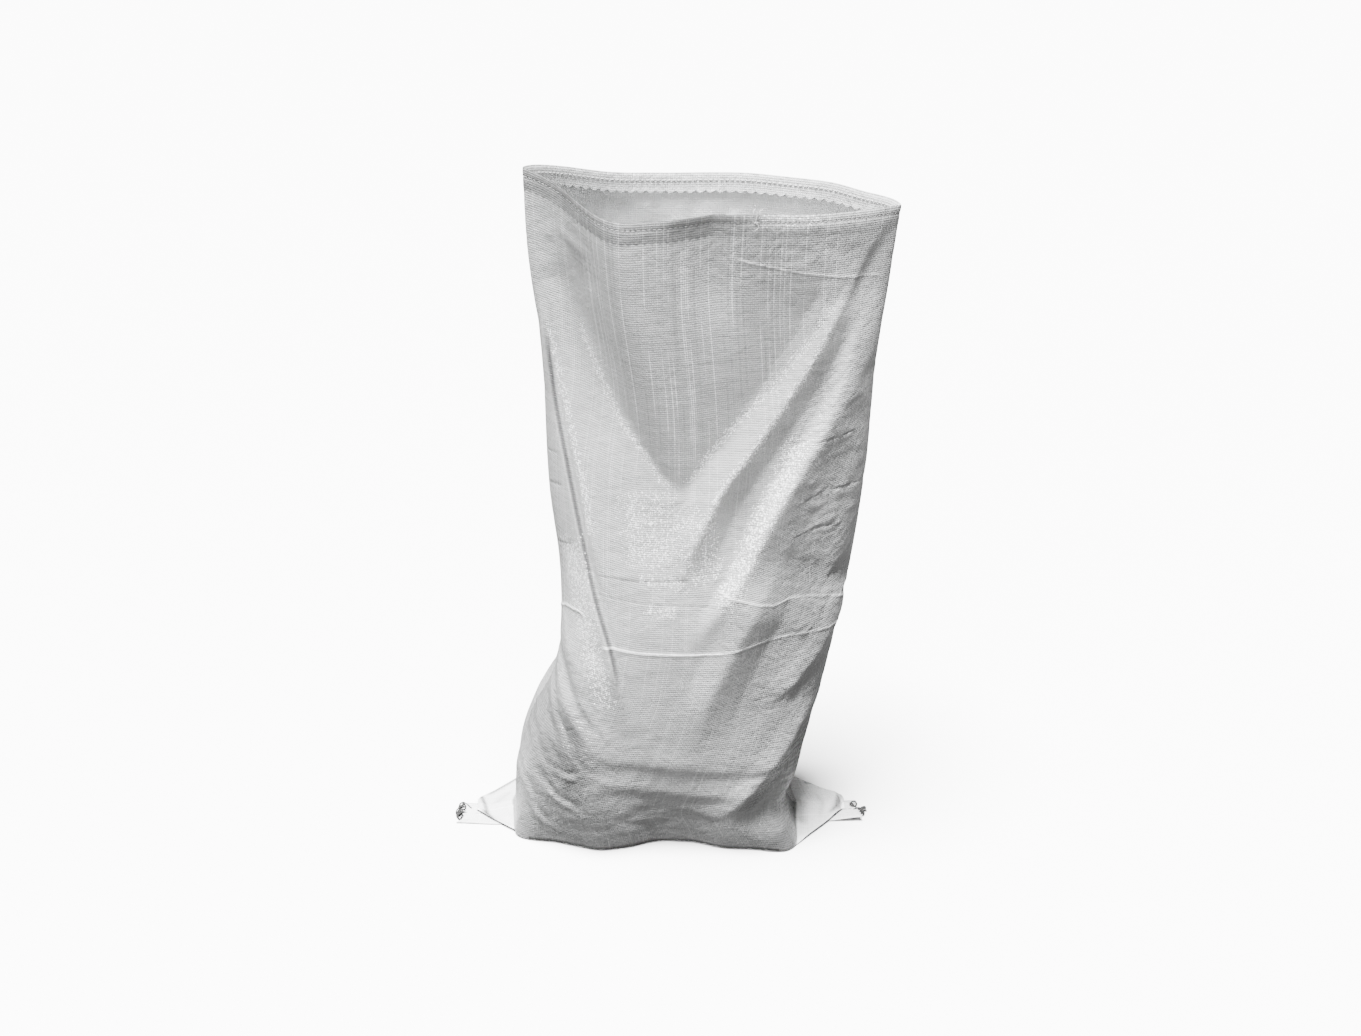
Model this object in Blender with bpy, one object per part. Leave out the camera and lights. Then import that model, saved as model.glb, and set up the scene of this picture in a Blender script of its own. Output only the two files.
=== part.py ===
"""An open woven polypropylene rubble sack that stands on its squared bottom.

Metres, +Z up. The sack faces -Y, its mouth is at the top, and the origin is on the floor under the
middle of its box. The cloth is one circular-woven tube, so it has no side seams. Its wall is drawn
thicker than the real cloth, and its two sewing threads are pieces of their own.
"""

import math

import bmesh
import bpy
import numpy as np

# The flat sack, as it comes off the bale: 550 mm wide, 950 mm long.
FLAT_WIDTH = 0.550
WALL = 0.002            # the drawn wall; the real cloth is about a tenth of it
FLOOR = 0.003
HEM_WIDTH = 0.025       # the mouth is turned in once and sewn
HEM_EXTRA = 0.001
STITCH_DROP = 0.0095    # the mouth's sewing line, below the rim
THREAD = 0.0012
GAP = 0.0003

# Sewn corners of the flat bottom: they stick out sideways as flat ears.
EAR_REACH_LEFT = 0.070
EAR_REACH_RIGHT = 0.086
EAR_TIP_Y = -0.023
EAR_EDGE = 0.004        # thickness at an ear's rim
EAR_ROOT = 0.030        # height at which an ear leaves the side wall
TAIL = 0.014            # loose thread past each ear's tip

# Points around each ring, between the side folds and the bottom's corners.
SIDE_STEPS = 6
FRONT_STEPS = 28
BACK_STEPS = 18
RINGS = 29              # between the ears and the hem
CORNER_SHARE = 0.165    # of half the girth, from a side fold to the bottom's corner

# The rim runs down from the left fold to the right one, and sags between them.
RIM_LEFT = 0.872
RIM_RIGHT = 0.828

# How far the rim hangs below the straight line between its ends, from -1, the left one, to 1.
RIM_DROP_FRONT = (
    (-1.00, 0.0), (-0.80, 0.0064), (-0.59, 0.0146), (-0.46, 0.0171), (-0.28, 0.0120), (-0.12, 0.0057),
    (0.04, 0.0027), (0.25, 0.0056), (0.46, 0.0068), (0.67, 0.0040), (1.0, 0.0))
RIM_DROP_BACK = (
    (-1.00, 0.0), (-0.80, 0.0130), (-0.59, 0.0234), (-0.28, 0.0245), (0.0, 0.0195), (0.15, 0.0160),
    (0.46, 0.0115), (0.67, 0.0073), (0.85, 0.0065), (1.0, 0.0))

# Height: left fold x, right fold x, middle y, depth in front, depth behind, roundness, corner power.
SECTIONS = (
    (0.000, -0.195, 0.171, -0.011, 0.088, 0.092, 0.10, 9.0),
    (0.040, -0.195, 0.165, -0.012, 0.094, 0.097, 0.19, 6.0),
    (0.100, -0.188, 0.182, -0.011, 0.103, 0.103, 0.27, 4.0),
    (0.150, -0.168, 0.193, -0.008, 0.108, 0.106, 0.33, 3.2),
    (0.210, -0.140, 0.205, -0.005, 0.111, 0.110, 0.38, 2.8),
    (0.320, -0.126, 0.229, 0.000, 0.113, 0.114, 0.42, 2.5),
    (0.480, -0.138, 0.250, 0.003, 0.093, 0.117, 0.46, 2.4),
    (0.640, -0.142, 0.259, 0.003, 0.066, 0.119, 0.52, 2.3),
    (0.780, -0.155, 0.274, 0.003, 0.042, 0.121, 0.72, 2.1),
    (0.880, -0.157, 0.283, 0.003, 0.026, 0.122, 0.95, 2.0),
)
BACK_FULLNESS = 0.70    # the back is rounder than the front by this much
FRONT_TURN = -0.012     # the front's right end stands this much nearer than its left

# The front of the mouth is pushed out: a facet that starts at a point and widens up to the rim,
# with a soft crest that runs up to the left.
COWL_POINT = (0.024, 0.505)
COWL_CREST = -0.206     # the crest's run in x for each metre up
COWL_RISE_LEFT = 4.50
COWL_RISE_RIGHT = 0.985
COWL_LEAN = 0.27
COWL_SOFT = 0.010
CREST_SOFT_LEFT = 0.050
CREST_SOFT_RIGHT = 0.012

# Each fold: its side, share of its line that fades at its upper and at its lower end, its section as
# (distance, height), and its line as (x, z). Distances are to the right of a line that runs down, or
# above one that runs to the right. Heights are outwards.
FOLDS = (
    # the left side's edge, the tongue at its foot, and the hip beside it
    ("front", 0.15, 0.35,
     ((-0.060, 0.0), (-0.004, 0.0085), (0.0, 0.0090), (0.005, -0.0010), (0.013, 0.0016), (0.03, 0.0)),
     ((-0.145, 0.745), (-0.134, 0.663), (-0.126, 0.592), (-0.115, 0.532), (-0.099, 0.445),
      (-0.080, 0.352), (-0.061, 0.285))),
    ("front", 0.35, 0.12,
     ((-0.070, -0.0020), (-0.060, 0.0), (-0.049, 0.0080), (-0.004, 0.0095), (0.0, 0.0095), (0.005, 0.0015),
      (0.013, 0.0020), (0.03, 0.0)),
     ((-0.094, 0.420), (-0.080, 0.352), (-0.061, 0.285), (-0.046, 0.205), (-0.046, 0.170))),
    ("front", 0.40, 0.30,
     ((-0.040, 0.0), (0.0, 0.0160), (0.040, 0.0)),
     ((-0.126, 0.330), (-0.123, 0.250), (-0.120, 0.160))),
    # the ridge from the mouth's right end: its left slope, and its right slope down to the valley
    ("front", 0.18, 0.20,
     ((-0.034, 0.0), (0.0, 0.0085), (0.030, 0.0)),
     ((0.240, 0.780), (0.212, 0.722), (0.165, 0.641), (0.106, 0.552), (0.071, 0.500),
      (0.041, 0.434), (0.020, 0.375))),
    ("front", 0.05, 0.30,
     ((0.0, 0.0), (0.014, -0.0085), (0.055, 0.0)),
     ((0.320, 0.880), (0.277, 0.826), (0.254, 0.800), (0.228, 0.755), (0.205, 0.710))),
    ("front", 0.05, 0.25,
     ((0.0, 0.0), (0.030, -0.0075), (0.042, -0.0070), (0.065, 0.0)),
     ((0.310, 0.860), (0.254, 0.800), (0.212, 0.722), (0.165, 0.641), (0.106, 0.552), (0.071, 0.500),
      (0.041, 0.434), (0.020, 0.375), (0.010, 0.330))),
    # the ridge right of the valley, and the flank that turns away from it
    ("front", 0.15, 0.20,
     ((-0.020, 0.0), (-0.004, 0.0095), (0.004, 0.0090), (0.030, 0.0040), (0.080, 0.0)),
     ((0.250, 0.740), (0.234, 0.698), (0.216, 0.640), (0.188, 0.580), (0.162, 0.537), (0.125, 0.458),
      (0.102, 0.399), (0.066, 0.339), (0.045, 0.29))),
    ("front", 0.25, 0.35,
     ((0.0, 0.0), (0.050, -0.017), (0.100, -0.024), (0.200, -0.024)),
     ((0.250, 0.740), (0.216, 0.640), (0.162, 0.537), (0.125, 0.458), (0.102, 0.399), (0.080, 0.345))),
    # soft hollows below them
    ("front", 0.22, 0.30,
     ((-0.030, 0.0), (-0.003, 0.0050), (0.003, 0.0045), (0.040, -0.0120), (0.060, -0.0110), (0.120, 0.0)),
     ((0.175, 0.450), (0.119, 0.366), (0.102, 0.325), (0.086, 0.292), (0.075, 0.259), (0.055, 0.226),
      (0.049, 0.176), (0.047, 0.150))),
    ("front", 0.10, 0.30,
     ((-0.028, 0.0), (-0.003, 0.0060), (0.014, -0.0090), (0.030, -0.0040), (0.060, 0.0)),
     ((0.260, 0.350), (0.235, 0.315), (0.206, 0.276), (0.174, 0.235), (0.158, 0.215))),
    ("front", 0.20, 0.20,
     ((-0.034, 0.0), (-0.012, 0.0055), (0.012, -0.0095), (0.026, -0.0095), (0.060, 0.0)),
     ((0.205, 0.215), (0.177, 0.165), (0.131, 0.098), (0.085, 0.04))),
    # the soft fold under the rim
    ("front", 0.05, 0.45,
     ((-0.050, 0.0), (-0.002, -0.0110), (0.003, -0.0100), (0.032, 0.0)),
     ((0.060, 0.910), (0.066, 0.775), (0.072, 0.724), (0.075, 0.68))),
    # the base's edge stands back between two low swells
    ("front", 0.50, 0.02,
     ((-0.060, 0.0), (-0.025, -0.015), (0.018, -0.015), (0.055, 0.0)),
     ((0.022, 0.080), (0.024, -0.050))),
    ("front", 0.30, 0.30,
     ((-0.060, 0.0), (0.0, 0.016), (0.060, 0.0)),
     ((-0.104, 0.220), (-0.090, 0.120), (-0.080, 0.0), (-0.078, -0.09))),
    ("front", 0.30, 0.30,
     ((-0.045, 0.0), (0.0, 0.010), (0.030, 0.0)),
     ((0.164, 0.055), (0.166, -0.04))),
    ("back", 0.25, 0.25,
     ((-0.050, 0.0), (0.0, -0.012), (0.018, -0.006), (0.045, 0.0)),
     ((-0.134, 0.74), (-0.084, 0.60), (-0.024, 0.45), (0.016, 0.34))),
    ("back", 0.25, 0.25,
     ((-0.045, 0.0), (0.0, 0.010), (0.020, 0.0)),
     ((-0.144, 0.62), (-0.094, 0.50), (-0.044, 0.38))),
    ("back", 0.25, 0.25,
     ((-0.018, 0.0), (0.0, -0.011), (0.045, 0.0)),
     ((0.236, 0.66), (0.176, 0.52), (0.106, 0.38), (0.076, 0.28))),
    ("back", 0.25, 0.25,
     ((-0.022, 0.0), (0.0, 0.010), (0.045, 0.0)),
     ((0.231, 0.52), (0.186, 0.42), (0.136, 0.30))),
    ("back", 0.25, 0.25,
     ((-0.035, 0.0), (0.0, -0.007), (0.035, 0.0)),
     ((-0.144, 0.21), (-0.054, 0.165), (0.066, 0.160), (0.176, 0.20))),
)

FOLD_SOFT = 0.006       # a fold's section is rounded over this distance to each side

CLOTH_COLOUR = (0.74, 0.74, 0.73, 1.0)
HEM_THREAD_COLOUR = (0.80, 0.80, 0.79, 1.0)
SEAM_THREAD_COLOUR = (0.05, 0.05, 0.05, 1.0)


def clear_scene():
    for obj in list(bpy.data.objects):
        bpy.data.objects.remove(obj)


def make_material(name, colour, roughness):
    material = bpy.data.materials.new(name)
    material.use_nodes = True
    shader = material.node_tree.nodes["Principled BSDF"]
    shader.inputs["Base Color"].default_value = colour
    shader.inputs["Roughness"].default_value = roughness
    shader.inputs["Metallic"].default_value = 0.0
    return material


def curved(at, places, values):
    """A smooth curve through (places, values), read at the points in at."""
    places, values = np.asarray(places, float), np.asarray(values, float)
    slopes = np.gradient(values, places)
    k = np.clip(np.searchsorted(places, at) - 1, 0, len(places) - 2)
    span = places[k + 1] - places[k]
    t = np.clip((at - places[k]) / span, 0.0, 1.0)
    return ((2 * t**3 - 3 * t**2 + 1) * values[k] + (t**3 - 2 * t**2 + t) * span * slopes[k]
            + (3 * t**2 - 2 * t**3) * values[k + 1] + (t**3 - t**2) * span * slopes[k + 1])


def section_at(z):
    """Left, right, middle, depth in front, depth behind, roundness and corner power at each z."""
    heights = [row[0] for row in SECTIONS]
    return [curved(z, heights, [row[k] for row in SECTIONS]) for k in range(1, 8)]


def rim_height(share, drops):
    """The rim's height at a share from -1, the left fold, to 1, the right one."""
    drop = curved(share, *zip(*drops))
    return RIM_LEFT + (RIM_RIGHT - RIM_LEFT) * (share + 1) / 2 - drop


def smooth(t):
    """0 to 1, with soft ends."""
    t = np.clip(t, 0.0, 1.0)
    return t * t * (3 - 2 * t)


def to_line(x, z, line):
    """How far each (x, z) is to the right of a line that runs down, and its share of the line's length."""
    points = np.array(line, float)
    lengths = np.hypot(*np.diff(points, axis=0).T)
    starts = np.concatenate([[0.0], np.cumsum(lengths)])
    best = np.full(x.shape, np.inf)
    share = np.zeros_like(x)
    side = np.ones_like(x)
    for start, length, (ax, az), (bx, bz) in zip(starts, lengths, points[:-1], points[1:]):
        dx, dz = bx - ax, bz - az
        t = np.clip(((x - ax) * dx + (z - az) * dz) / length**2, 0.0, 1.0)
        apart = np.hypot(x - ax - t * dx, z - az - t * dz)
        nearer = apart < best
        share = np.where(nearer, (start + t * length) / starts[-1], share)
        side = np.where(nearer, np.sign(dx * (z - az) - dz * (x - ax)), side)
        best = np.minimum(best, apart)
    return best * side, share


def rounded(line):
    """A line of points again, as a smooth curve through them."""
    points = np.array(line, float)
    places = np.concatenate([[0.0], np.cumsum(np.hypot(*np.diff(points, axis=0).T))])
    fine = np.linspace(0.0, places[-1], 4 * len(line))
    return np.stack([curved(fine, places, points[:, k]) for k in (0, 1)], axis=1)


def fold_height(side, x, z):
    """How far one side's folds push the cloth out at each (x, z)."""
    total = np.zeros_like(x)
    for fold_side, upper_end, lower_end, section, line in FOLDS:
        if fold_side == side:
            apart, share = to_line(x, z, rounded(line))
            ends = smooth(share / upper_end) * smooth((1 - share) / lower_end)
            heights = [np.interp(apart + k * FOLD_SOFT, *zip(*section)) for k in (-1.0, -0.5, 0.0, 0.5, 1.0)]
            total += ends * np.mean(heights, axis=0)
    if side == "front":
        up = z - COWL_POINT[1]
        aside = x - COWL_POINT[0] - COWL_CREST * np.maximum(up, 0.0)
        rise = np.where(aside < 0, COWL_RISE_LEFT, COWL_RISE_RIGHT)
        soft = np.where(aside < 0, CREST_SOFT_LEFT, CREST_SOFT_RIGHT)
        above = up - rise * (np.hypot(aside, soft) - soft)
        total += COWL_LEAN * 0.5 * (above + np.hypot(above, COWL_SOFT) - COWL_SOFT)
    return total


def half_ring(side, level):
    """One side of the ring at a share of the rim's height, as fine points from left to right."""
    share = np.sin(np.linspace(-math.pi / 2, math.pi / 2, 400))
    front = side == "front"
    z = level * rim_height(share, RIM_DROP_FRONT if front else RIM_DROP_BACK)
    left, right, middle, depth_front, depth_back, roundness, corner = section_at(z)
    x = (left + right) / 2 + (right - left) / 2 * share
    swell = (1 - np.abs(share) ** corner) ** roundness
    swell[0] = swell[-1] = 0.0
    if front:
        y = middle - depth_front * swell + FRONT_TURN * share * swell
    else:
        y = middle + depth_back * swell ** BACK_FULLNESS
    along = np.stack([np.gradient(x), np.gradient(y)])
    along /= np.maximum(np.hypot(*along), 1e-9)
    out = np.stack([along[1], -along[0]]) * (1 if front else -1)
    push = fold_height(side, x, z) * swell
    return np.stack([x + out[0] * push, y + out[1] * push, z], axis=1)


def spread(points, shares):
    """The points at these shares of the length of a line."""
    steps = np.linalg.norm(np.diff(points, axis=0), axis=1)
    along = np.concatenate([[0.0], np.cumsum(steps)])
    return np.stack([np.interp(shares * along[-1], along, points[:, k]) for k in range(3)], axis=1)


def stations(steps):
    """Shares of half the girth: side fold, bottom corner, panel, bottom corner, side fold."""
    side = np.linspace(0.0, CORNER_SHARE, SIDE_STEPS + 1)
    panel = np.linspace(CORNER_SHARE, 1 - CORNER_SHARE, steps + 1)
    return np.concatenate([side[:-1], panel, (1 - side)[::-1][1:]])


def ring(level):
    """The cloth's outer side at a level: left fold, front, right fold, back."""
    front = spread(half_ring("front", level), stations(FRONT_STEPS))
    back = spread(half_ring("back", level), stations(BACK_STEPS))[::-1]
    return np.concatenate([front[:-1], back[:-1]])


def ear_reach(height, reach):
    """How far an ear still reaches at a height above the floor."""
    if height <= EAR_EDGE:
        return reach
    return reach * max(0.0, 1 - math.sqrt((height - EAR_EDGE) / (EAR_ROOT - EAR_EDGE)))


def with_ears(points, height):
    """The ring again, with its side walls drawn out to the ears."""
    points = points.copy()
    count = len(points)
    half = 2 * SIDE_STEPS + FRONT_STEPS
    for fold, sign, reach in ((0, -1, EAR_REACH_LEFT), (half, 1, EAR_REACH_RIGHT)):
        limit = ear_reach(height, reach)
        for step in range(1 - SIDE_STEPS, SIDE_STEPS):
            outwards = min(reach * (1 - abs(step) / SIDE_STEPS), limit)
            k = (fold + step) % count
            points[k][0] += sign * outwards
            points[k][1] += (EAR_TIP_Y - points[fold % count][1]) * outwards / reach if step else 0.0
        points[fold % count][1] += (EAR_TIP_Y - points[fold % count][1]) * limit / reach
    return points


def inwards(points, distance):
    """The ring moved towards its inside, with its corners mitred."""
    along = (np.roll(points, -1, axis=0) - points)[:, :2]
    normal = np.stack([-along[:, 1], along[:, 0]], axis=1)
    normal /= np.linalg.norm(normal, axis=1)[:, None]
    before = np.roll(normal, 1, axis=0)
    mitre = (normal + before) / np.maximum(1 + np.sum(normal * before, axis=1), 0.25)[:, None]
    moved = points.copy()
    moved[:, :2] += mitre * distance
    return moved


def level_of(height):
    return height / ((RIM_LEFT + RIM_RIGHT) / 2)


def below_rim(drop):
    """The level that is this far below the rim."""
    return 1 - drop / ((RIM_LEFT + RIM_RIGHT) / 2)


def add_ring(bm, points):
    verts = [bm.verts.new(p) for p in points]
    return [bm.edges.new((a, b)) for a, b in zip(verts, verts[1:] + verts[:1])]


def make_sack(collection):
    """The cloth: outer rings from the floor to the rim, then inner rings down to the sack's floor."""
    ear_heights = (0.0, EAR_EDGE, 0.007, 0.012, 0.019, EAR_ROOT)
    upper = np.linspace(level_of(0.048), below_rim(HEM_WIDTH + 0.012), RINGS)
    hem = (below_rim(HEM_WIDTH), below_rim(STITCH_DROP), 1.0)
    outer = []
    for height in ear_heights:
        outer.append(with_ears(ring(level_of(height)), height))
    outer += [ring(level) for level in (*upper, *hem)]
    inner = [inwards(ring(1.0), WALL + HEM_EXTRA)]
    inner.append(inwards(ring(below_rim(HEM_WIDTH)), WALL + HEM_EXTRA))
    inner.append(inwards(ring(below_rim(HEM_WIDTH + 0.001)), WALL))
    inner += [inwards(ring(level), WALL) for level in upper[::-1]]
    inner += [inwards(ring(level_of(height)), WALL) for height in (0.022, FLOOR)]

    bm = bmesh.new()
    loops = [add_ring(bm, points) for points in outer + inner]
    for lower, higher in zip(loops[:-1], loops[1:]):
        bmesh.ops.bridge_loops(bm, edges=lower + higher)
    bmesh.ops.contextual_create(bm, geom=loops[0])
    bmesh.ops.contextual_create(bm, geom=loops[-1])
    bmesh.ops.recalc_face_normals(bm, faces=bm.faces)
    mesh = bpy.data.meshes.new("woven_sack")
    bm.to_mesh(mesh)
    bm.free()
    mesh.shade_smooth()
    sack = bpy.data.objects.new("woven_sack", mesh)
    collection.objects.link(sack)
    mesh.materials.append(make_material("woven_polypropylene", CLOTH_COLOUR, 0.45))
    return sack


def make_thread(name, points, closed, material, collection):
    """A sewing thread as a thin round cord."""
    data = bpy.data.curves.new(name, "CURVE")
    data.dimensions = "3D"
    data.bevel_depth = THREAD / 2
    data.bevel_resolution = 1
    data.use_fill_caps = True
    line = data.splines.new("POLY")
    line.points.add(len(points) - 1)
    for place, point in zip(line.points, points):
        place.co = (*point, 1.0)
    line.use_cyclic_u = closed
    data.materials.append(material)
    thread = bpy.data.objects.new(name, data)
    collection.objects.link(thread)
    return thread


def make_hem_thread(collection):
    """The row of stitches round the mouth, lying on the outside of the hem."""
    points = inwards(ring(below_rim(STITCH_DROP)), -(THREAD / 2 + GAP))
    material = make_material("hem_thread", HEM_THREAD_COLOUR, 0.6)
    return make_thread("hem_thread", points, True, material, collection)


def cut_seam_groove(sack, collection):
    """The sewn seam runs along the middle of the bottom, and its thread lies in this groove."""
    bpy.ops.mesh.primitive_cube_add(size=1.0, location=(0.0, EAR_TIP_Y, 0.0))
    cutter = bpy.context.object
    cutter.name = "seam_groove_cutter"
    cutter.scale = (0.8, THREAD + 4 * GAP, 2 * (THREAD + 2 * GAP))
    cutter.hide_render = True
    cutter.display_type = "WIRE"
    for owner in list(cutter.users_collection):
        owner.objects.unlink(cutter)
    collection.objects.link(cutter)
    groove = sack.modifiers.new("seam_groove", "BOOLEAN")
    groove.operation = "DIFFERENCE"
    groove.object = cutter
    groove.solver = "EXACT"


def make_seam_thread(collection):
    """The bottom's row of stitches, with a loose tail past each ear."""
    height = THREAD / 2 + GAP
    left = SECTIONS[0][1] - EAR_REACH_LEFT
    right = SECTIONS[0][2] + EAR_REACH_RIGHT
    points = [(left - TAIL, EAR_TIP_Y + 0.004, height)]
    points += [(x, EAR_TIP_Y, height) for x in np.linspace(left - 0.004, right + 0.004, 9)]
    points.append((right + TAIL, EAR_TIP_Y + 0.003, height))
    material = make_material("seam_thread", SEAM_THREAD_COLOUR, 0.8)
    return make_thread("seam_thread", points, False, material, collection)


def make_collection(name, parent):
    collection = bpy.data.collections.new(name)
    parent.children.link(collection)
    return collection


def main():
    clear_scene()
    root = bpy.context.scene.collection
    parts = make_collection("rubble_sack", root)
    cutters = make_collection("cutters", root)
    sack = make_sack(parts)
    make_hem_thread(parts)
    cut_seam_groove(sack, cutters)
    make_seam_thread(parts)


main()
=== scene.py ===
"""The looks of an open woven polypropylene rubble sack that stands on its squared bottom.

Metres, +Z up, the sack faces -Y. The cloth is a grid of cells in the flat sack's own measures. Each
cell is put where the standing sack has it, a cloth simulation adds the slack's small wrinkles, and
the packing creases, the stitches and the weave follow.
"""

import math

import bmesh
import bpy
import numpy as np
from mathutils import Matrix, Vector, kdtree, noise


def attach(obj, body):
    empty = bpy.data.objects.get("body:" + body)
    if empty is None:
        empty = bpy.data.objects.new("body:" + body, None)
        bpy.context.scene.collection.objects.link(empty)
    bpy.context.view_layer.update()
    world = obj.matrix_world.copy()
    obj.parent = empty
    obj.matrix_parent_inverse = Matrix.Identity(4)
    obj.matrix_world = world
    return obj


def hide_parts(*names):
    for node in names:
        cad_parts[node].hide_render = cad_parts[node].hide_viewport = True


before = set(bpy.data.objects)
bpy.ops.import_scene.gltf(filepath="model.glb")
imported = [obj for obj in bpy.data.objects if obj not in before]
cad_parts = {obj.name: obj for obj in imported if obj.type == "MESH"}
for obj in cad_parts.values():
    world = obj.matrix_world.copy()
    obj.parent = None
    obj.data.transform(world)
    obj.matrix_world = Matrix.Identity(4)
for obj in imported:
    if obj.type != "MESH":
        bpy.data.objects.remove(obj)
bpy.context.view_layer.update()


def in_metres(rows):
    """A table's rows again: points, given in millimetres, in metres, and other values as they are."""
    return [[np.array(item) / 1000 if isinstance(item, tuple) else item for item in row] for row in rows]


UP = Vector((0.0, 0.0, 1.0))

# The flat sack, and the grid of cells that its cloth is made from.
FLAT_WIDTH = 0.55
FLAT_LENGTH = 0.95
COLUMNS = 132  # cells across one flat side
CELL = FLAT_WIDTH / COLUMNS
ROWS = round(FLAT_LENGTH / CELL)  # cells from the bottom seam to the rim
CORNER = 22  # cells of half the bottom's depth
HALF_DEPTH = CORNER * CELL
WALL_ROWS = ROWS - CORNER
HEM_ROWS = 6  # cells of the turned-in hem, 25 mm
HEM_GAP = 0.0013  # from the cloth to its hem
HEM_LOOSE = 0.0017  # the hem's raw edge stands off this much more
PINKING = 0.003  # depth of the hem's zigzag edge
STITCH_DROP = 0.0095  # from the rim to the hem's row of stitches
STITCH_SUNK = 0.0003
STITCH_SUNK_INSIDE = 0.0005
TAPE = 0.0028  # width of one woven tape
CUT_LENGTH = (ROWS + HEM_ROWS) * CELL

# The rim, from the left fold to the right one.
RIM_LEFT = 0.872
RIM_RIGHT = 0.828
RIM_DROP_FRONT = (
    (-1, 0), (-0.8, 0.0064), (-0.59, 0.018), (-0.46, 0.0225), (-0.28, 0.016), (-0.12, 0.0105), (0.04, 0.005),
    (0.25, 0.003), (0.46, 0.005), (0.67, 0.004), (1, 0),
)
RIM_DROP_BACK = (
    (-1, 0), (-0.8, 0.013), (-0.59, 0.0234), (-0.28, 0.0245), (0, 0.0195), (0.15, 0.016), (0.46, 0.0115),
    (0.67, 0.0073), (0.85, 0.0065), (1, 0),
)
RIM_FLARE = (
    (-1, 0), (-0.75, 0.0012), (-0.54, 0.0004), (-0.4, -0.0012), (-0.22, -0.0008), (-0.1, 0.0014),
    (0.14, 0.0012), (0.24, -0.0012), (0.45, -0.0028), (0.8, -0.0022), (1, 0),
)
RIM_FLARE_BACK = 0.0008
RIM_FLARE_DEPTH = 0.014  # the mouth's edge in front leans out and in above this depth

# Height: left fold x, right fold x, middle y, depth in front, depth behind, roundness, corner power.
SECTIONS = (
    (0, -0.194, 0.171, -0.011, 0.088, 0.092, 0.1, 9),
    (0.04, -0.192, 0.161, -0.012, 0.094, 0.097, 0.19, 6),
    (0.1, -0.185, 0.18, -0.011, 0.103, 0.103, 0.27, 4),
    (0.15, -0.168, 0.193, -0.008, 0.108, 0.106, 0.33, 3.2),
    (0.21, -0.14, 0.205, -0.005, 0.111, 0.11, 0.38, 2.8),
    (0.32, -0.126, 0.229, 0, 0.113, 0.114, 0.42, 2.5),
    (0.48, -0.138, 0.25, 0.003, 0.093, 0.117, 0.46, 2.4),
    (0.64, -0.142, 0.259, 0.003, 0.066, 0.119, 0.52, 2.3),
    (0.78, -0.155, 0.274, 0.003, 0.042, 0.121, 0.72, 2.1),
    (0.88, -0.157, 0.283, 0.003, 0.026, 0.122, 0.95, 2),
)
BACK_FULLNESS = 0.7
FRONT_TURN = -0.012
WEFT_LIFT = 0.034  # the cloth is pulled up this far on its right, at mid height
WALL_SAMPLES = 600  # points along one side's wall, from which its columns are placed

# The facet under the front of the mouth.
COWL_POINT = (0.024, 0.505)
COWL_CREST = -0.206
COWL_RISE_LEFT = 4.5
COWL_RISE_RIGHT = 0.985
COWL_LEAN = 0.27
COWL_SOFT = 0.003
COWL_SOFT_HIGH = 0.1  # the facet's left edge is rounded this much more high up
CREST_SOFT_LEFT = 0.05
CREST_SOFT_RIGHT = 0.008

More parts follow.
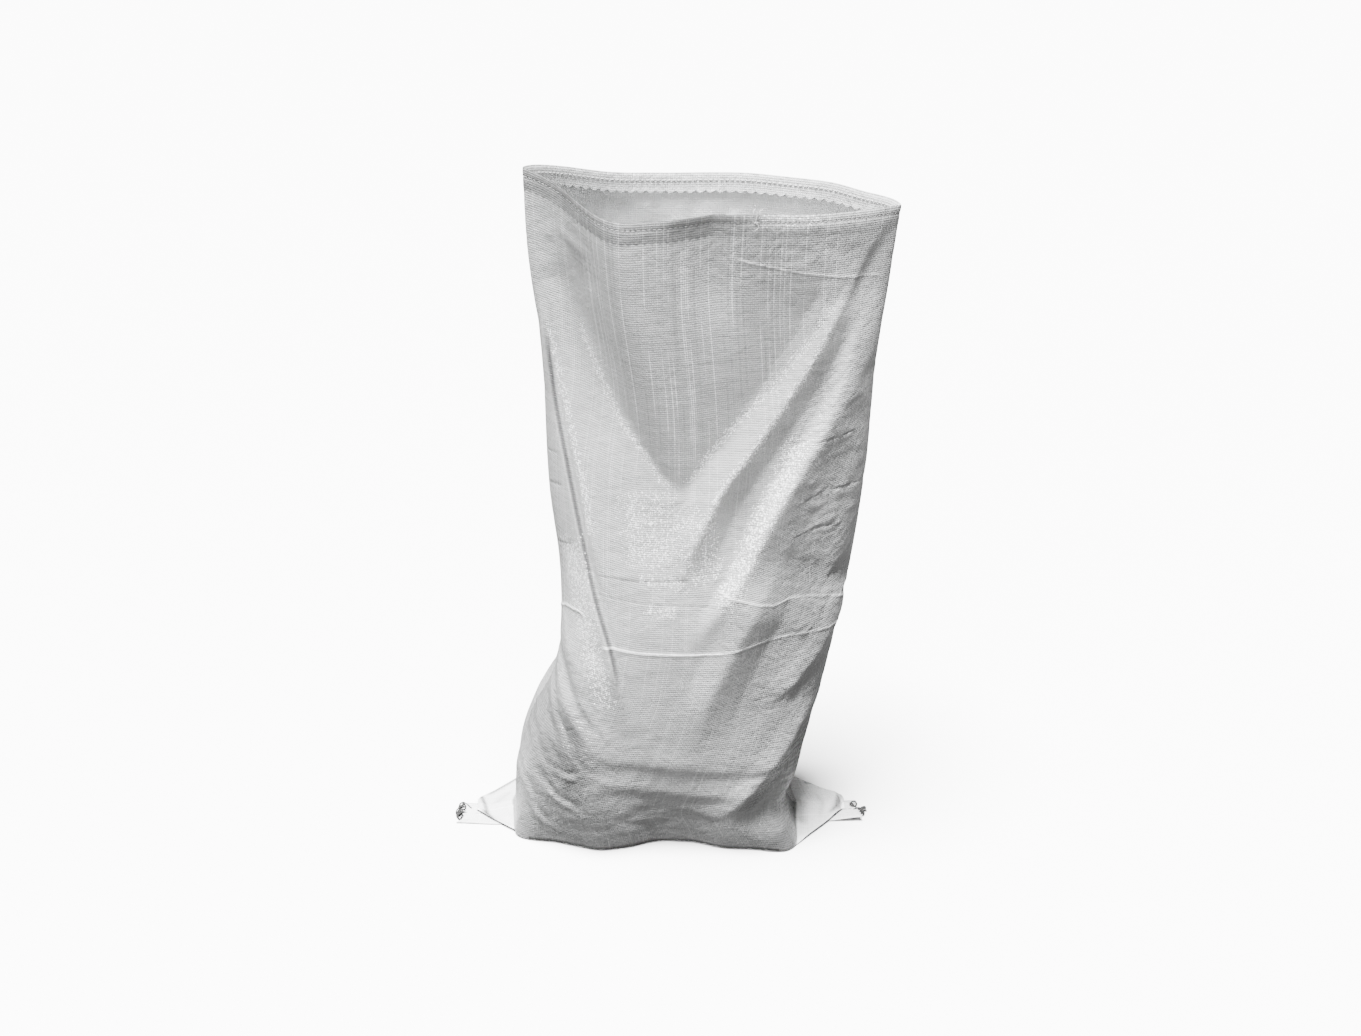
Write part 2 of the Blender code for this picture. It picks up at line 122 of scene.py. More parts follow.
# Each fold: its side, softness, share of its line that fades at its upper and at its lower end, its
# section as (distance, height), and its line as (x, z). Distances are to the right of a line that runs
# down, or above one that runs to the right. Heights are outwards.
FOLDS = in_metres((
    # the left side's sharp edge, the tongue at its foot, and the thin ridge beside it
    ("front", 0.001, 0.15, 0.35, ((-60, 0), (-4, 8.5), (0, 9), (5, -1), (13, 1.6), (30, 0)), ((-145, 745),
     (-134, 663), (-126, 592), (-115, 532), (-99, 445), (-80, 352), (-61, 285))),
    ("front", 0.0015, 0.35, 0.4, ((-70, -2), (-60, 0), (-49, 8), (-4, 9.5), (0, 9.5), (5, 1.5), (13, 2),
     (30, 0)), ((-94, 420), (-80, 352), (-61, 285), (-46, 205), (-46, 170))),
    ("front", 0.01, 0.4, 0.3, ((-40, 0), (0, 16), (40, 0)), ((-126, 330), (-123, 250), (-120, 160))),
    ("front", 0.0015, 0.2, 0.2, ((-12, 0), (0, 4.2), (28, 0)), ((-146, 800), (-135, 722), (-126, 658),
     (-117, 616), (-101, 532), (-85, 438), (-66, 340))),
    # the ridge from the mouth's right end: its left slope, and its right slope down to the valley
    ("front", 0.0015, 0.18, 0.2, ((-34, 0), (0, 8.5), (30, 0)), ((240, 780), (212, 722), (165, 641), (106, 552),
     (71, 500), (41, 434), (20, 375))),
    ("front", 0.0015, 0.05, 0.3, ((0, 0), (14, -8.5), (55, 0)), ((320, 880), (277, 826), (254, 800), (228, 755),
     (205, 710))),
    ("front", 0.0015, 0.05, 0.25, ((0, 0), (30, -7.5), (46, -7), (67, 0)), ((310, 860), (254, 800), (212, 722),
     (165, 641), (106, 552), (71, 500), (41, 434), (20, 375), (10, 330))),
    # the ridge right of the valley, and the flank that turns away from it
    ("front", 0.002, 0.15, 0.2, ((-18, 0), (-4, 9), (4, 8.5), (30, 4), (80, 0)), ((252, 740), (239, 698),
     (224, 640), (200, 580), (174, 537), (131, 458), (103, 399), (66, 339), (45, 290))),
    ("front", 0.004, 0.25, 0.22, ((0, 0), (50, -17), (100, -24), (200, -24)), ((252, 740), (224, 640),
     (174, 537), (131, 458), (103, 399), (86, 350))),
    # soft hollows below them
    ("front", 0.002, 0.45, 0.3, ((-30, 0), (-3, 4.5), (3, 4), (38, -9.5), (60, -8.8), (120, 0)), ((185, 475),
     (150, 420), (122, 366), (102, 325), (86, 292), (73, 262), (59, 226), (50, 190), (46, 155), (45, 130))),
    ("front", 0.002, 0.1, 0.2, ((-28, 0), (-3, 5), (14, -4.8), (28, -1.6), (50, 0)), ((250, 352), (224, 312),
     (194, 274), (164, 240), (144, 215))),
    ("front", 0.003, 0.2, 0.2, ((-34, 0), (-12, 5.5), (12, -9.5), (26, -9.5), (60, 0)), ((205, 215), (177, 165),
     (131, 98), (85, 40))),
    # the folds that hang across the bottom
    ("front", 0.003, 0.15, 0.15, ((-35, 0), (-12, -1), (2, 0.6), (30, 0)), ((-125, 200), (-108, 169),
     (-77, 145), (-27, 134), (49, 125), (137, 133), (174, 155), (195, 180))),
    ("front", 0.003, 0.25, 0.25, ((-30, 0), (-12, -0.8), (2, 0.5), (20, 0)), ((-75, 110), (-27, 92), (50, 84),
     (110, 96))),
    ("front", 0.002, 0.25, 0.25, ((-20, 0), (-7, -0.7), (2, 0.5), (14, 0)), ((-60, 60), (0, 66), (45, 52),
     (100, 50))),
    # the creases that run down the hip from under the left edge
    ("front", 0.001, 0.1, 0.3, ((-12, 0), (0, 3), (6, -3.4), (16, 0)), ((-135, 275), (-123, 225), (-104, 183),
     (-76, 150))),
    ("front", 0.001, 0.15, 0.35, ((-10, 0), (0, 2.4), (5, -2.6), (11, 0)), ((-128, 262), (-112, 215),
     (-92, 178), (-68, 155))),
    ("front", 0.001, 0.2, 0.35, ((-12, 0), (0, 2.4), (6, -2.8), (13, 0)), ((-143, 235), (-131, 175),
     (-110, 140), (-78, 109))),
    ("front", 0.001, 0.2, 0.3, ((-10, 0), (0, 2), (6, -2.4), (13, 0)), ((-165, 110), (-150, 88), (-126, 70),
     (-100, 60))),
    ("front", 0.001, 0.2, 0.3, ((-8, 0), (0, 1.8), (5, -2.2), (10, 0)), ((-142, 118), (-120, 112), (-98, 118))),
    ("front", 0.001, 0.2, 0.3, ((-10, 0), (0, 2), (6, -2.2), (12, 0)), ((-178, 100), (-168, 60), (-146, 22))),
    # small folds under the rim
    ("front", 0.003, 0.05, 0.45, ((-50, 0), (-2, -11), (3, -10), (32, 0)), ((60, 910), (66, 775), (72, 724),
     (75, 680))),
    ("front", 0.001, 0.25, 0.25, ((-7, 0), (0, 1.6), (10, 0)), ((-134, 870), (-117, 836), (-111, 807),
     (-97, 795), (-60, 782))),
    # the base's edge stands back between two low swells
    ("front", 0.01, 0.72, 0.02, ((-60, 0), (-25, -12), (18, -12), (55, 0)), ((18, 150), (24, -50))),
    ("front", 0.01, 0.3, 0.3, ((-60, 0), (0, 16), (60, 0)), ((-104, 220), (-90, 120), (-80, 0), (-78, -90))),
    ("front", 0.01, 0.3, 0.3, ((-45, 0), (0, 10), (30, 0)), ((164, 55), (166, -40))),
    ("back", 0.006, 0.25, 0.25, ((-50, 0), (0, -12), (18, -6), (45, 0)), ((-134, 740), (-84, 600), (-24, 450),
     (16, 340))),
    ("back", 0.003, 0.25, 0.25, ((-45, 0), (0, 10), (20, 0)), ((-144, 620), (-94, 500), (-44, 380))),
    ("back", 0.003, 0.25, 0.25, ((-18, 0), (0, -11), (45, 0)), ((236, 660), (176, 520), (106, 380), (76, 280))),
    ("back", 0.004, 0.25, 0.25, ((-22, 0), (0, 10), (45, 0)), ((231, 520), (186, 420), (136, 300))),
    ("back", 0.006, 0.25, 0.25, ((-35, 0), (0, -7), (35, 0)), ((-144, 210), (-54, 165), (66, 160), (176, 200))),
))

# The bottom's folded and sewn edge, which lies under the base and shows past each ear's tip.
STRIP_LEFT = (-0.262, -0.029)  # the middle of its left end
STRIP_RIGHT = (0.259, -0.020)
STRIP_WIDTH = 0.044
STRIP_END = 0.085  # share of its length that curls up at either end
STRIP_UP = 0.0009  # its middle above the floor
STRIP_CURLS = ((0.0035, 0.003), (0.004, -0.002))  # how high each end curls, and how much higher behind
STRIP_CORNER = 0.006  # its ends' corners are drawn in this far
STRIP_WAVE = 0.004
STRIP_THICK = 0.0007

# Threads.
HEM_THREAD = 0.0006  # radius of a stitch
STITCH_PITCH = 0.0066
STITCH_LENGTH = 0.0056
SEAM_THREAD = 0.0004
SEAM_LOOP_THREAD = 0.001
SEAM_KNOTS = in_metres((
    # place and turn
    ((-265.5, -10, 5), 0.3), ((-268, -15, 4.2), 1.2), ((-269, -26, 3.8), 0.8), ((-270, -31, 3), 2.0),
    ((264, -20, 4), 0.9), ((266.5, -24, 3.4), 0.1), ((269, -17, 4.6), 2.2),
))
SEAM_KNOT_LENGTH = 0.005
SEAM_KNOT_RADIUS = 0.0023
TUFT_COLUMN = 82.0  # where the hem thread ends, in cells from the left fold
TUFT_OFF = 0.0008  # its knot stands off the cloth
TUFT_KNOT = (-0.0008, 0.0006, 0.0018)  # the knot's turns, by their place along the rim
TUFT_KNOT_LENGTH = 0.0034
TUFT_KNOT_RADIUS = 0.0009
TUFT_ENDS = ((-0.0035, 0.0075, 0.004), (0.0015, 0.011, -0.003), (0.003, 0.0055, 0.005))  # side, height, turn
TUFT_THREAD = 0.0005
TUFT_LOW_END = ((0.0008, 0, 0), (0.0022, 0.003, -0.004), (0.0016, -0.001, -0.009), (0.001, 0.002, -0.013))
TUFT_LOW_THREAD = 0.00035
SEAM_LOOPS = in_metres((
    # the seam thread's loose loops, beyond the left and the right tip
    ((-254, -20, 5), (-262, -12, 7), (-268, -8, 6), (-271, -14, 4), (-266, -20, 3), (-262, -14, 4),
     (-267, -9, 3), (-273, -12, 1)),
    ((-262, -16, 5), (-269, -19, 6), (-274, -25, 4), (-271, -31, 2), (-266, -28, 3), (-268, -22, 5),
     (-273, -30, 2), (-270, -38, 1)),
    ((-259, -28, 4), (-267, -30, 5), (-271, -36, 3), (-266, -40, 2), (-263, -34, 3), (-268, -40, 1),
     (-265, -46, 1)),
    ((250, -10, 6), (256, -6, 7), (259, -12, 6), (254, -16, 6), (251, -10, 7), (257, -17, 5), (262, -21, 4)),
    ((254, -22, 5), (262, -20, 6), (267, -25, 4), (263, -30, 3), (260, -25, 4), (265, -21, 5), (268, -27, 2),
     (264, -33, 1)),
    ((262, -26, 4), (267, -20, 5), (271, -15, 3), (267, -12, 2), (266, -18, 3), (272, -20, 1)),
))

# Creases from when the sack was packed flat: height, tone, half width, and line on the cloth, from its
# left fold and its bottom seam. A raised crease is painted pale, partly stress whitening and partly a painted
# highlight, and a sunk crease is painted darker as painted shade.
CREASES = in_metres((
    (0.0007, 1.7, 0.0038, ((128, 389), (180, 389.5), (240, 390), (309, 391))),
    (0.0006, 0.7, 0.003, ((300, 391), (350, 393.5), (400, 390), (442, 383), (520, 374))),
    (-0.0004, -0.34, 0.003, ((112, 478), (146, 482), (204, 488.5), (254, 488.7))),
    (0.0006, 0.9, 0.003, ((283, 478), (317, 465), (375, 442), (404, 440), (438, 431), (533, 396))),
    (0.0009, 0.9, 0.0034, ((4, 392), (54, 416), (88, 421.5), (104, 417))),
    (-0.0005, -0.36, 0.0032, ((4, 565), (62.5, 578.5))),
    (-0.0005, -0.36, 0.0032, ((8, 486), (79, 506))),
    (-0.0004, -0.3, 0.003, ((6, 608), (50, 616))),
    (0.0005, 0.5, 0.0024, ((317, 897), (350, 889), (404, 880), (462.5, 870), (533, 863))),
    (-0.0003, -0.18, 0.0026, ((110, 452), (180, 458), (260, 456), (320, 452))),
    (-0.0004, -0.22, 0.0026, ((395, 655), (450, 652), (500, 650))),
    (-0.0004, -0.2, 0.0026, ((410, 570), (455, 574), (520, 566))),
    (-0.0004, -0.2, 0.0026, ((400, 520), (440, 524), (485, 517))),
    (0.0007, 0.4, 0.0026, ((580, 390), (700, 392), (850, 388), (1050, 392))),
    (-0.0006, -0.3, 0.0026, ((600, 640), (760, 636), (900, 640), (1040, 637))),
    (0.0006, 0.35, 0.0024, ((610, 212), (780, 215), (1000, 211))),
))
CREASE_END = 0.012
CREASE_SECTION = ((0, 1), (0.35, 0.75), (0.7, 0.15), (1, 0))
CREASE_TONE_SECTION = ((0, 1), (0.35, 0.8), (0.6, 0))

# Lines of points. The hem's swell is (distance below the rim, height). The left fold has a crisp edge,
# given as (x, z), with its groove's section. The facet that falls back into the sack is given by its
# edges, as (z, x): turned tapes show most between them.
HEM_CURVE, CRISP_EDGE, CRISP_SECTION, FACET_LEFT, FACET_RIGHT = in_metres((
    ((0, -0.1), (1.5, 0.2), (5, 0.4), (8.4, 0.2), (9.5, -0.6), (10.6, 0.1), (15, 0.3), (24, 0.3), (25.5, 0)),
    ((-137, 700), (-134, 663), (-126, 592), (-115, 532), (-99, 445), (-80, 352), (-61, 285), (-50, 225)),
    ((-14, 0), (-2, 0.8), (1, -1.12), (4, 0.64), (14, 0)),
    ((505, 23), (547, -18), (604, -56), (663, -81), (722, -104), (840, -120)),
    ((505, 23), (568, 71), (616, 117), (673, 163), (742, 217), (840, 250)),
))
# Painted shade in the crisp edge's groove: distance across it, and share of tone lost.
CRISP_EDGE_SHADE = ((-0.0028, 0), (-0.0006, 0.736), (0.002, 0.736), (0.0052, 0))
CRISP_END = 0.12
STREAKS_OUTSIDE = 0.4

# Painted glints: where bare glossy tapes are painted bright in place of their highlights: chance, reach, and
# line as (x, z) in front.
PAINTED_GLINTS = in_metres((
    (0.9, 0.0042, ((-98, 710), (-81, 663), (-56, 604), (-41, 574), (-18, 547), (0, 520), (23, 505))),
    (1, 0.005, ((217, 742), (163, 673), (117, 616), (71, 568), (47, 535), (23, 505))),
    (1, 0.0055, ((212, 715), (165, 639), (106, 552), (71, 508), (56, 464), (35, 420))),
    (0.95, 0.015, ((170, 575), (151, 532), (127, 485), (110, 440), (95, 400), (66, 350))),
    (0.95, 0.005, ((-132, 700), (-122, 640), (-107, 568), (-90, 483), (-83, 419))),
    (1, 0.015, ((-112, 440), (-104, 380), (-90, 310), (-76, 246), (-64, 205))),
    (0.62, 0.038, ((-20, 505), (-12, 450), (-6, 400))),
    (0.8, 0.012, ((-34, 500), (-32, 455), (-30, 410))),
    (0.85, 0.013, ((-34, 430), (-10, 428), (14, 434))),
    (0.95, 0.009, ((-30, 392), (0, 390), (30, 386))),
    (0.95, 0.01, ((-20, 352), (0, 350), (20, 352))),
    (0.5, 0.03, ((34, 490), (40, 440), (60, 385))),
    (0.6, 0.009, ((105, 838), (150, 834), (190, 832))),
))

# Painted shade, with some dirt, that darkens the cloth in front: middle (x, z), reach (x, z), share lost.
SHADE_AND_DIRT_PATCHES = in_metres((
    ((-128, 120), (85, 170), 0.38), ((-118, 175), (50, 110), 0.26), ((-162, 155), (42, 110), 0.34),
    ((-60, 190), (40, 60), 0.12), ((195, 362), (60, 50), 0.22), ((-80, 150), (80, 85), 0.32),
    ((-92, 600), (50, 170), 0.09), ((145, 35), (75, 75), 0.44), ((150, 300), (85, 140), 0.2),
    ((172, 350), (85, 80), 0.26), ((195, 620), (30, 80), 0.2), ((152, 555), (40, 80), 0.14),
    ((108, 465), (40, 90), 0.24), ((70, 400), (45, 85), 0.24), ((162, 8), (55, 45), 0.34),
    ((165, 410), (80, 80), 0.2), ((120, 175), (110, 90), 0.3), ((-20, 190), (120, 90), 0.14),
    ((-143, 560), (24, 150), 0.16), ((-105, 800), (60, 60), 0.14), ((-40, 775), (60, 50), 0.1),
))

# Painted shade on the ears' folds, edges and dents: half width, share lost, and line as (x, y).
EAR_PAINTED_SHADE = in_metres((
    (0.005, 0.85, ((-247, 18), (-238, -10), (-228, -42))), (0.005, 0.85, ((-178, 80), (-210, 42), (-240, 10))),
    (0.006, 0.92, ((-240, -20), (-224, -45), (-204, -76))),
    (0.008, 0.85, ((236, 40), (239, 12), (231, -22), (220, -34))),
    (0.004, 0.75, ((191, 43), (200, 45), (209, 42))), (0.014, 0.42, ((184, -5), (182, -30), (184, -55))),
    (0.008, 0.25, ((-205, 20), (-216, 4), (-222, -14))), (0.006, 0.2, ((-190, 30), (-196, -10), (-190, -40))),
    (0.005, 0.3, ((205, 20), (214, -10), (208, -40))),
))

# Crinkled places: side, middle (x, z), reach (x, z), height, grain, the grain's slope and its stretch.
CRINKLES = in_metres((
    ("front", (205, 450), (80, 300), 0.0019, 0.012, 12, 1.4),
    ("front", (170, 250), (80, 140), 0.0016, 0.012, 35, 2),
    ("front", (150, 100), (110, 120), 0.0024, 0.01, 14, 4),
    ("front", (-145, 120), (85, 190), 0.0048, 0.0085, -60, 7),
    ("front", (-105, 150), (70, 80), 0.003, 0.008, -38, 6),
    ("front", (-10, 60), (170, 90), 0.0022, 0.01, 3, 5),
    ("front", (0, 160), (120, 40), 0.0012, 0.008, -4, 7),
    ("front", (10, 400), (90, 100), 0.0007, 0.012, 0, 1.5),
    ("front", (-125, 800), (60, 70), 0.001, 0.014, -10, 2.5),
    ("front", (150, 790), (130, 50), 0.001, 0.014, -8, 3),
    ("back", (30, 450), (300, 550), 0.0022, 0.024, 55, 1.6),
    ("back", (0, 100), (250, 140), 0.002, 0.017, 8, 2.2),
))
CRUMPLED = in_metres((
    # where the shader's fine crinkles are strong: middle (x, z) and reach
    ((205, 450), (90, 300)), ((160, 230), (100, 170)), ((-130, 110), (100, 170)), ((30, 60), (170, 90)),
    ((110, 800), (140, 50)),
))
CRUMPLED_BEHIND = 0.5
CRINKLE_EVERYWHERE = 0.0003
CRINKLE_SCALE = 38.0  # of the crinkles that are everywhere
PATCH_EDGE = 1.3  # these patches are whole within 0.3 of their reach, and gone at 1.3 of it
FADE = 0.03  # a mask fades over this far

# Ears: the flat corners of the bottom, by their tips.
EAR_TIP_LEFT = (-0.262, -0.012)
EAR_TIP_RIGHT = (0.258, 0.000)
EAR_ENDS = (-0.2485, 0.2435)  # each tip is turned under here
EAR_RIDGES = ((-0.2435, 0.0035), (0.2325, 0.0060))
EAR_RIDGE_REACH = (0.006, 0.016)  # a ridge's reach outwards and inwards
EAR_EDGE_UP = 0.003  # the ears' front edges are lifted off the floor
EAR_FOLD_SHARP = 12  # how sharply an ear's upper layer starts at its fold
EAR_END_TURN = 0.15  # share of an ear past its blunt end that is turned back under it
EAR_END_LAYERS = (0.0004, 0.001)
SEAM_LAYER = 0.0004
EAR_DENTS = in_metres((
    # depth, half width, and line as (x, y)
    (0.0022, 0.004, ((186, 22), (200, 24), (216, 21))), (0.0012, 0.004, ((224, 18), (221, -4), (223, -30))),
    (0.0015, 0.006, ((-205, 30), (-214, 8), (-222, -12))),
    (0.001, 0.005, ((-232, 8), (-226, -16), (-214, -44))), (0.002, 0.01, ((178, -30), (190, -50), (183, -80))),
))
EAR_ROOT_OUT = 0.006  # the side wall leans out this far where it meets its ear
EAR_ROOT_UP = 0.009
EAR_ROOT_REACH = 0.014  # and does so below about this height
EAR_TIP_UP = 0.006  # the tips curl up
SEAM_Y = -0.02
GROUND = 0.0018  # the cloth's lowest layer above the floor, on its folded seam
LAYER = 0.0012  # from one lying layer to the next

# The slack's wrinkles: share that stays, middle and reach, as (share across the front, share up).
LOOSE = (
    (0.50, (0.92, 0.50), (0.12, 0.26)), (0.34, (0.84, 0.24), (0.18, 0.10)), (0.55, (0.09, 0.22), (0.14, 0.10)),
    (0.26, (0.48, 0.17), (0.34, 0.06)), (0.22, (0.75, 0.88), (0.25, 0.06)), (0.20, (0.12, 0.86), (0.12, 0.08)),
)
SLACK = 0.02  # the cloth is this much longer than the form it hangs on
WRINKLE_FRAMES = 14
HOLD = 0.1  # how firmly the cloth keeps its form while it wrinkles
WRINKLED = 0.1  # this share of the wrinkles stays where the cloth isn't loose
WRINKLED_BEHIND = 0.5

# The camera.
PHOTO_WIDTH = 1361
CAMERA_PLACE = (0.024, -2.192, 1.520)
CAMERA_TILT = math.radians(26.5)
CAMERA_FOCAL = 1968.0  # in the photograph's pixels

# The cloth's finish.
HEM_DEPTH = HEM_ROWS * CELL
HEM_TONE = 0.93  # the doubled cloth lets less light through
HEM_TONE_LEFT = 0.52  # least of all on the mouth's left half in front
INSIDE_TONE = 1.3  # the hem's own inner side, which the light falls on
INNER_WALL_GAIN = 0.68  # light comes through the wall to its inner side
BRIGHTEST = 0.9
EAR_PAINTED_LIGHT = 1.45  # the ears are painted lighter, as they lie in the light
CLOTH_TONE = 0.41
CLOTH_TINT = (0.995, 1.0, 1.0)
LOW_SHADE_AND_DIRT_HEIGHT = 0.4  # painted shade, with some dirt from the ground, darkens the cloth up to about this height
LOW_SHADE_AND_DIRT_TONE = 0.68
WEAVE_RELIEF = 0.00036
CRUMPLE_RELIEF = 0.0007
CRUMPLE_GAIN = 0.9
CRUMPLE_SCALE = 60.0
WARP_STREAKS = 0.17  # this share of the tapes is bright, and as many are dark
WARP_GAIN = 0.55
WARP_LOSS = 0.22
WEFT_STREAKS = 0.07
WEFT_GAIN = 0.06
WEFT_LOSS = 0.3
WEFT_WANDER = 0.01
EAR_FROM = 0.166  # the ears lie further out than this
PAINTED_GLINT_CELL = 0.0013
PINK_WIDTH = 0.0048  # half of one tooth of the hem's raw edge

# The studio's light.
FILL_LIGHT = 0.42
BACKDROP_LIGHT = 8.0
KEY_LIGHT = 39.5
KEY_SPREAD = math.radians(28)
KEY_FROM = (-0.30, -0.30, 3.0)
FRONT_LIGHT = 53.0
FRONT_FROM = (-1.5, -2.3, 1.9)


# The standing sack's form.

def curved(at, places, values):
    """A smooth curve through (places, values), read at the points in at."""
    places, values = np.asarray(places, float), np.asarray(values, float)
    slopes = np.gradient(values, places)
    k = np.clip(np.searchsorted(places, at) - 1, 0, len(places) - 2)
    span = places[k + 1] - places[k]
    t = np.clip((at - places[k]) / span, 0.0, 1.0)
    return ((2 * t**3 - 3 * t**2 + 1) * values[k] + (t**3 - 2 * t**2 + t) * span * slopes[k]
            + (3 * t**2 - 2 * t**3) * values[k + 1] + (t**3 - t**2) * span * slopes[k + 1])


def smooth(t):
    """0 to 1, with soft ends."""
    t = np.clip(t, 0.0, 1.0)
    return t * t * (3 - 2 * t)


def near(x, z, middle, reach, edge=1.0):
    """1 at a patch's middle, fading to 0 at its reach, and later where edge is above 1."""
    return smooth(edge - np.hypot((x - middle[0]) / reach[0], (z - middle[1]) / reach[1]))


def faded_ends(share, reach):
    """0 at both ends of a line, and 1 where it is further from them than a share of its length."""
    return smooth(np.minimum(share, 1 - share) / reach)


def to_line(x, z, line):
    """How far each (x, z) is to the right of a line that runs down, and its share of the line's length."""
    points = np.array(line, float)
    lengths = np.hypot(*np.diff(points, axis=0).T)
    starts = np.concatenate([[0.0], np.cumsum(lengths)])
    best = np.full(x.shape, np.inf)
    share = np.zeros_like(x)
    side = np.ones_like(x)
    for start, length, (ax, az), (bx, bz) in zip(starts, lengths, points[:-1], points[1:]):
        dx, dz = bx - ax, bz - az
        t = np.clip(((x - ax) * dx + (z - az) * dz) / length**2, 0.0, 1.0)
        apart = np.hypot(x - ax - t * dx, z - az - t * dz)
        nearer = apart < best
        share = np.where(nearer, (start + t * length) / starts[-1], share)
        side = np.where(nearer, np.sign(dx * (z - az) - dz * (x - ax)), side)
        best = np.minimum(best, apart)
    return best * side, share


def rounded(line):
    """A line of points again, as a smooth curve through them."""
    points = np.array(line, float)
    places = np.concatenate([[0.0], np.cumsum(np.hypot(*np.diff(points, axis=0).T))])
    fine = np.linspace(0.0, places[-1], 4 * len(line))
    return np.stack([curved(fine, places, points[:, k]) for k in (0, 1)], axis=1)


def section_at(z):
    """Left, right, middle, depth in front, depth behind, roundness and corner power at each z."""
    heights, *measures = zip(*SECTIONS)
    return [curved(z, heights, measure) for measure in measures]


def facet_height(x, z):
    """How far the cloth leans out below the facet that falls back into the sack."""
    up = z - COWL_POINT[1]
    aside = x - COWL_POINT[0] - COWL_CREST * np.maximum(up, 0.0)
    rise = np.where(aside < 0, COWL_RISE_LEFT, COWL_RISE_RIGHT)
    soft = np.where(aside < 0, CREST_SOFT_LEFT, CREST_SOFT_RIGHT)
    above = up - rise * (np.hypot(aside, soft) - soft)
    edge = COWL_SOFT + COWL_SOFT_HIGH * smooth((up - 0.02) / 0.16) * smooth(-aside / 0.08)
    return COWL_LEAN * 0.5 * (above + np.hypot(above, edge) - edge)


def fold_height(side, x, z):
    """How far one side's folds push the cloth out at each (x, z)."""
    total = np.zeros_like(x)
    for fold_side, softness, upper_end, lower_end, section, line in FOLDS:
        if fold_side == side:
            apart, share = to_line(x, z, rounded(line))
            ends = smooth(share / upper_end) * smooth((1 - share) / lower_end)
            heights = [np.interp(apart + k * softness, *zip(*section)) for k in (-1.0, -0.5, 0.0, 0.5, 1.0)]
            total += ends * np.mean(heights, axis=0)
    return total + facet_height(x, z) if side == "front" else total


def cloth_height(side, share, level):
    """The height of a row of cells, along the share from -1, the left fold, to 1, the right one."""
    drop = curved(share, *zip(*(RIM_DROP_FRONT if side == "front" else RIM_DROP_BACK)))
    rim = RIM_LEFT + (RIM_RIGHT - RIM_LEFT) * (share + 1) / 2 - drop
    lift = WEFT_LIFT * smooth((share + 0.1) / 1.1) * math.sin(math.pi * min(1.0, level) ** 0.8) ** 2
    return level * rim + lift


def wall_line(side, level):
    """One side's row of cloth at a level, 0 at the floor and 1 at the rim, from fold to fold."""
    share = np.sin(np.linspace(-math.pi / 2, math.pi / 2, WALL_SAMPLES))
    front = side == "front"
    z = cloth_height(side, share, level)
    left, right, middle, depth_front, depth_back, roundness, corner = section_at(z)
    x = (left + right) / 2 + (right - left) / 2 * share
    swell = (1 - np.abs(share) ** corner) ** roundness
    swell[0] = swell[-1] = 0.0
    if front:
        y = middle - depth_front * swell + FRONT_TURN * share * swell
    else:
        y = middle + depth_back * swell**BACK_FULLNESS
    along = np.stack([np.gradient(x), np.gradient(y)])
    along /= np.maximum(np.hypot(*along), 1e-9)
    out = np.stack([along[1], -along[0]]) * (1 if front else -1)
    push = fold_height(side, x, z) * swell
    points = np.stack([x + out[0] * push, y + out[1] * push, z], axis=1)
    steps = np.linalg.norm(np.diff(points, axis=0), axis=1)
    along = np.concatenate([[0.0], np.cumsum(steps)]) / steps.sum()
    shares = np.linspace(0.0, 1.0, COLUMNS + 1)
    return np.stack([np.interp(shares, along, points[:, k]) for k in range(3)], axis=1)


def lean_to_ears(points):
    """A wall's row again: where it stands on an ear, it leans out and starts above the floor."""
    columns = np.arange(COLUMNS + 1)
    share = np.clip((CORNER - np.minimum(columns, COLUMNS - columns)) / CORNER, 0.0, 1.0) ** 2
    outwards = np.where(columns < COLUMNS / 2, -1.0, 1.0)
    low = points[:, 2].copy()
    points[:, 2] = np.hypot(low, EAR_ROOT_UP * share)
    points[:, 0] += outwards * EAR_ROOT_OUT * share * np.exp(-low / EAR_ROOT_REACH)
    return points


def shaped_ear(place, into, over):
    """A point of an ear again, with the ear's blunt end, its ridge, its lifted front edge and its dents."""
    x, y = place[0], place[1]
    side, outwards = (0, -1) if x < 0 else (1, 1)
    top = smooth(over * EAR_FOLD_SHARP)
    ridge, height = EAR_RIDGES[side]
    past = outwards * (x - ridge)
    reach = EAR_RIDGE_REACH[0 if past > 0 else 1]
    place[2] += height * smooth(1 - abs(past) / reach) * (0.35 + 0.65 * top)
    if y < SEAM_Y:
        place[2] += EAR_EDGE_UP * smooth(1 - abs(over) * 5) * faded_ends(into, 0.25)
    for depth, half_width, line in EAR_DENTS:
        apart, share = to_line(np.array([x]), np.array([y]), line)
        place[2] -= depth * top * smooth(1 - abs(apart[0]) / half_width) * faded_ends(share[0], 0.25)
    place[2] = max(place[2], GROUND)
    beyond = outwards * (x - EAR_ENDS[side])
    if beyond > 0:
        place[0] = EAR_ENDS[side] - outwards * EAR_END_TURN * beyond
        place[2] = GROUND + EAR_END_LAYERS[0 if top < 0.5 else 1]
    return place


def ear_place(into, up, corner, middle, tip):
    """A point of an ear: into its share from the bottom's corner to the tip, up that from seam to wall."""
    foot = np.array([corner[0], SEAM_Y, GROUND])
    corner = np.array([corner[0], corner[1], GROUND])
    point = np.array([*tip, GROUND + EAR_TIP_UP * into**4])
    over = into + up - 1.0
    if over <= 0.0:
        place = foot + into * (point - foot) + up * (corner - foot)
    else:
        place = corner * (1 - into) + point * (1 - up) + middle * over
        place[2] = GROUND + LAYER * min(1.0, over * EAR_FOLD_SHARP) + (middle[2] - GROUND) * over**1.6
    return shaped_ear(place, into, over)


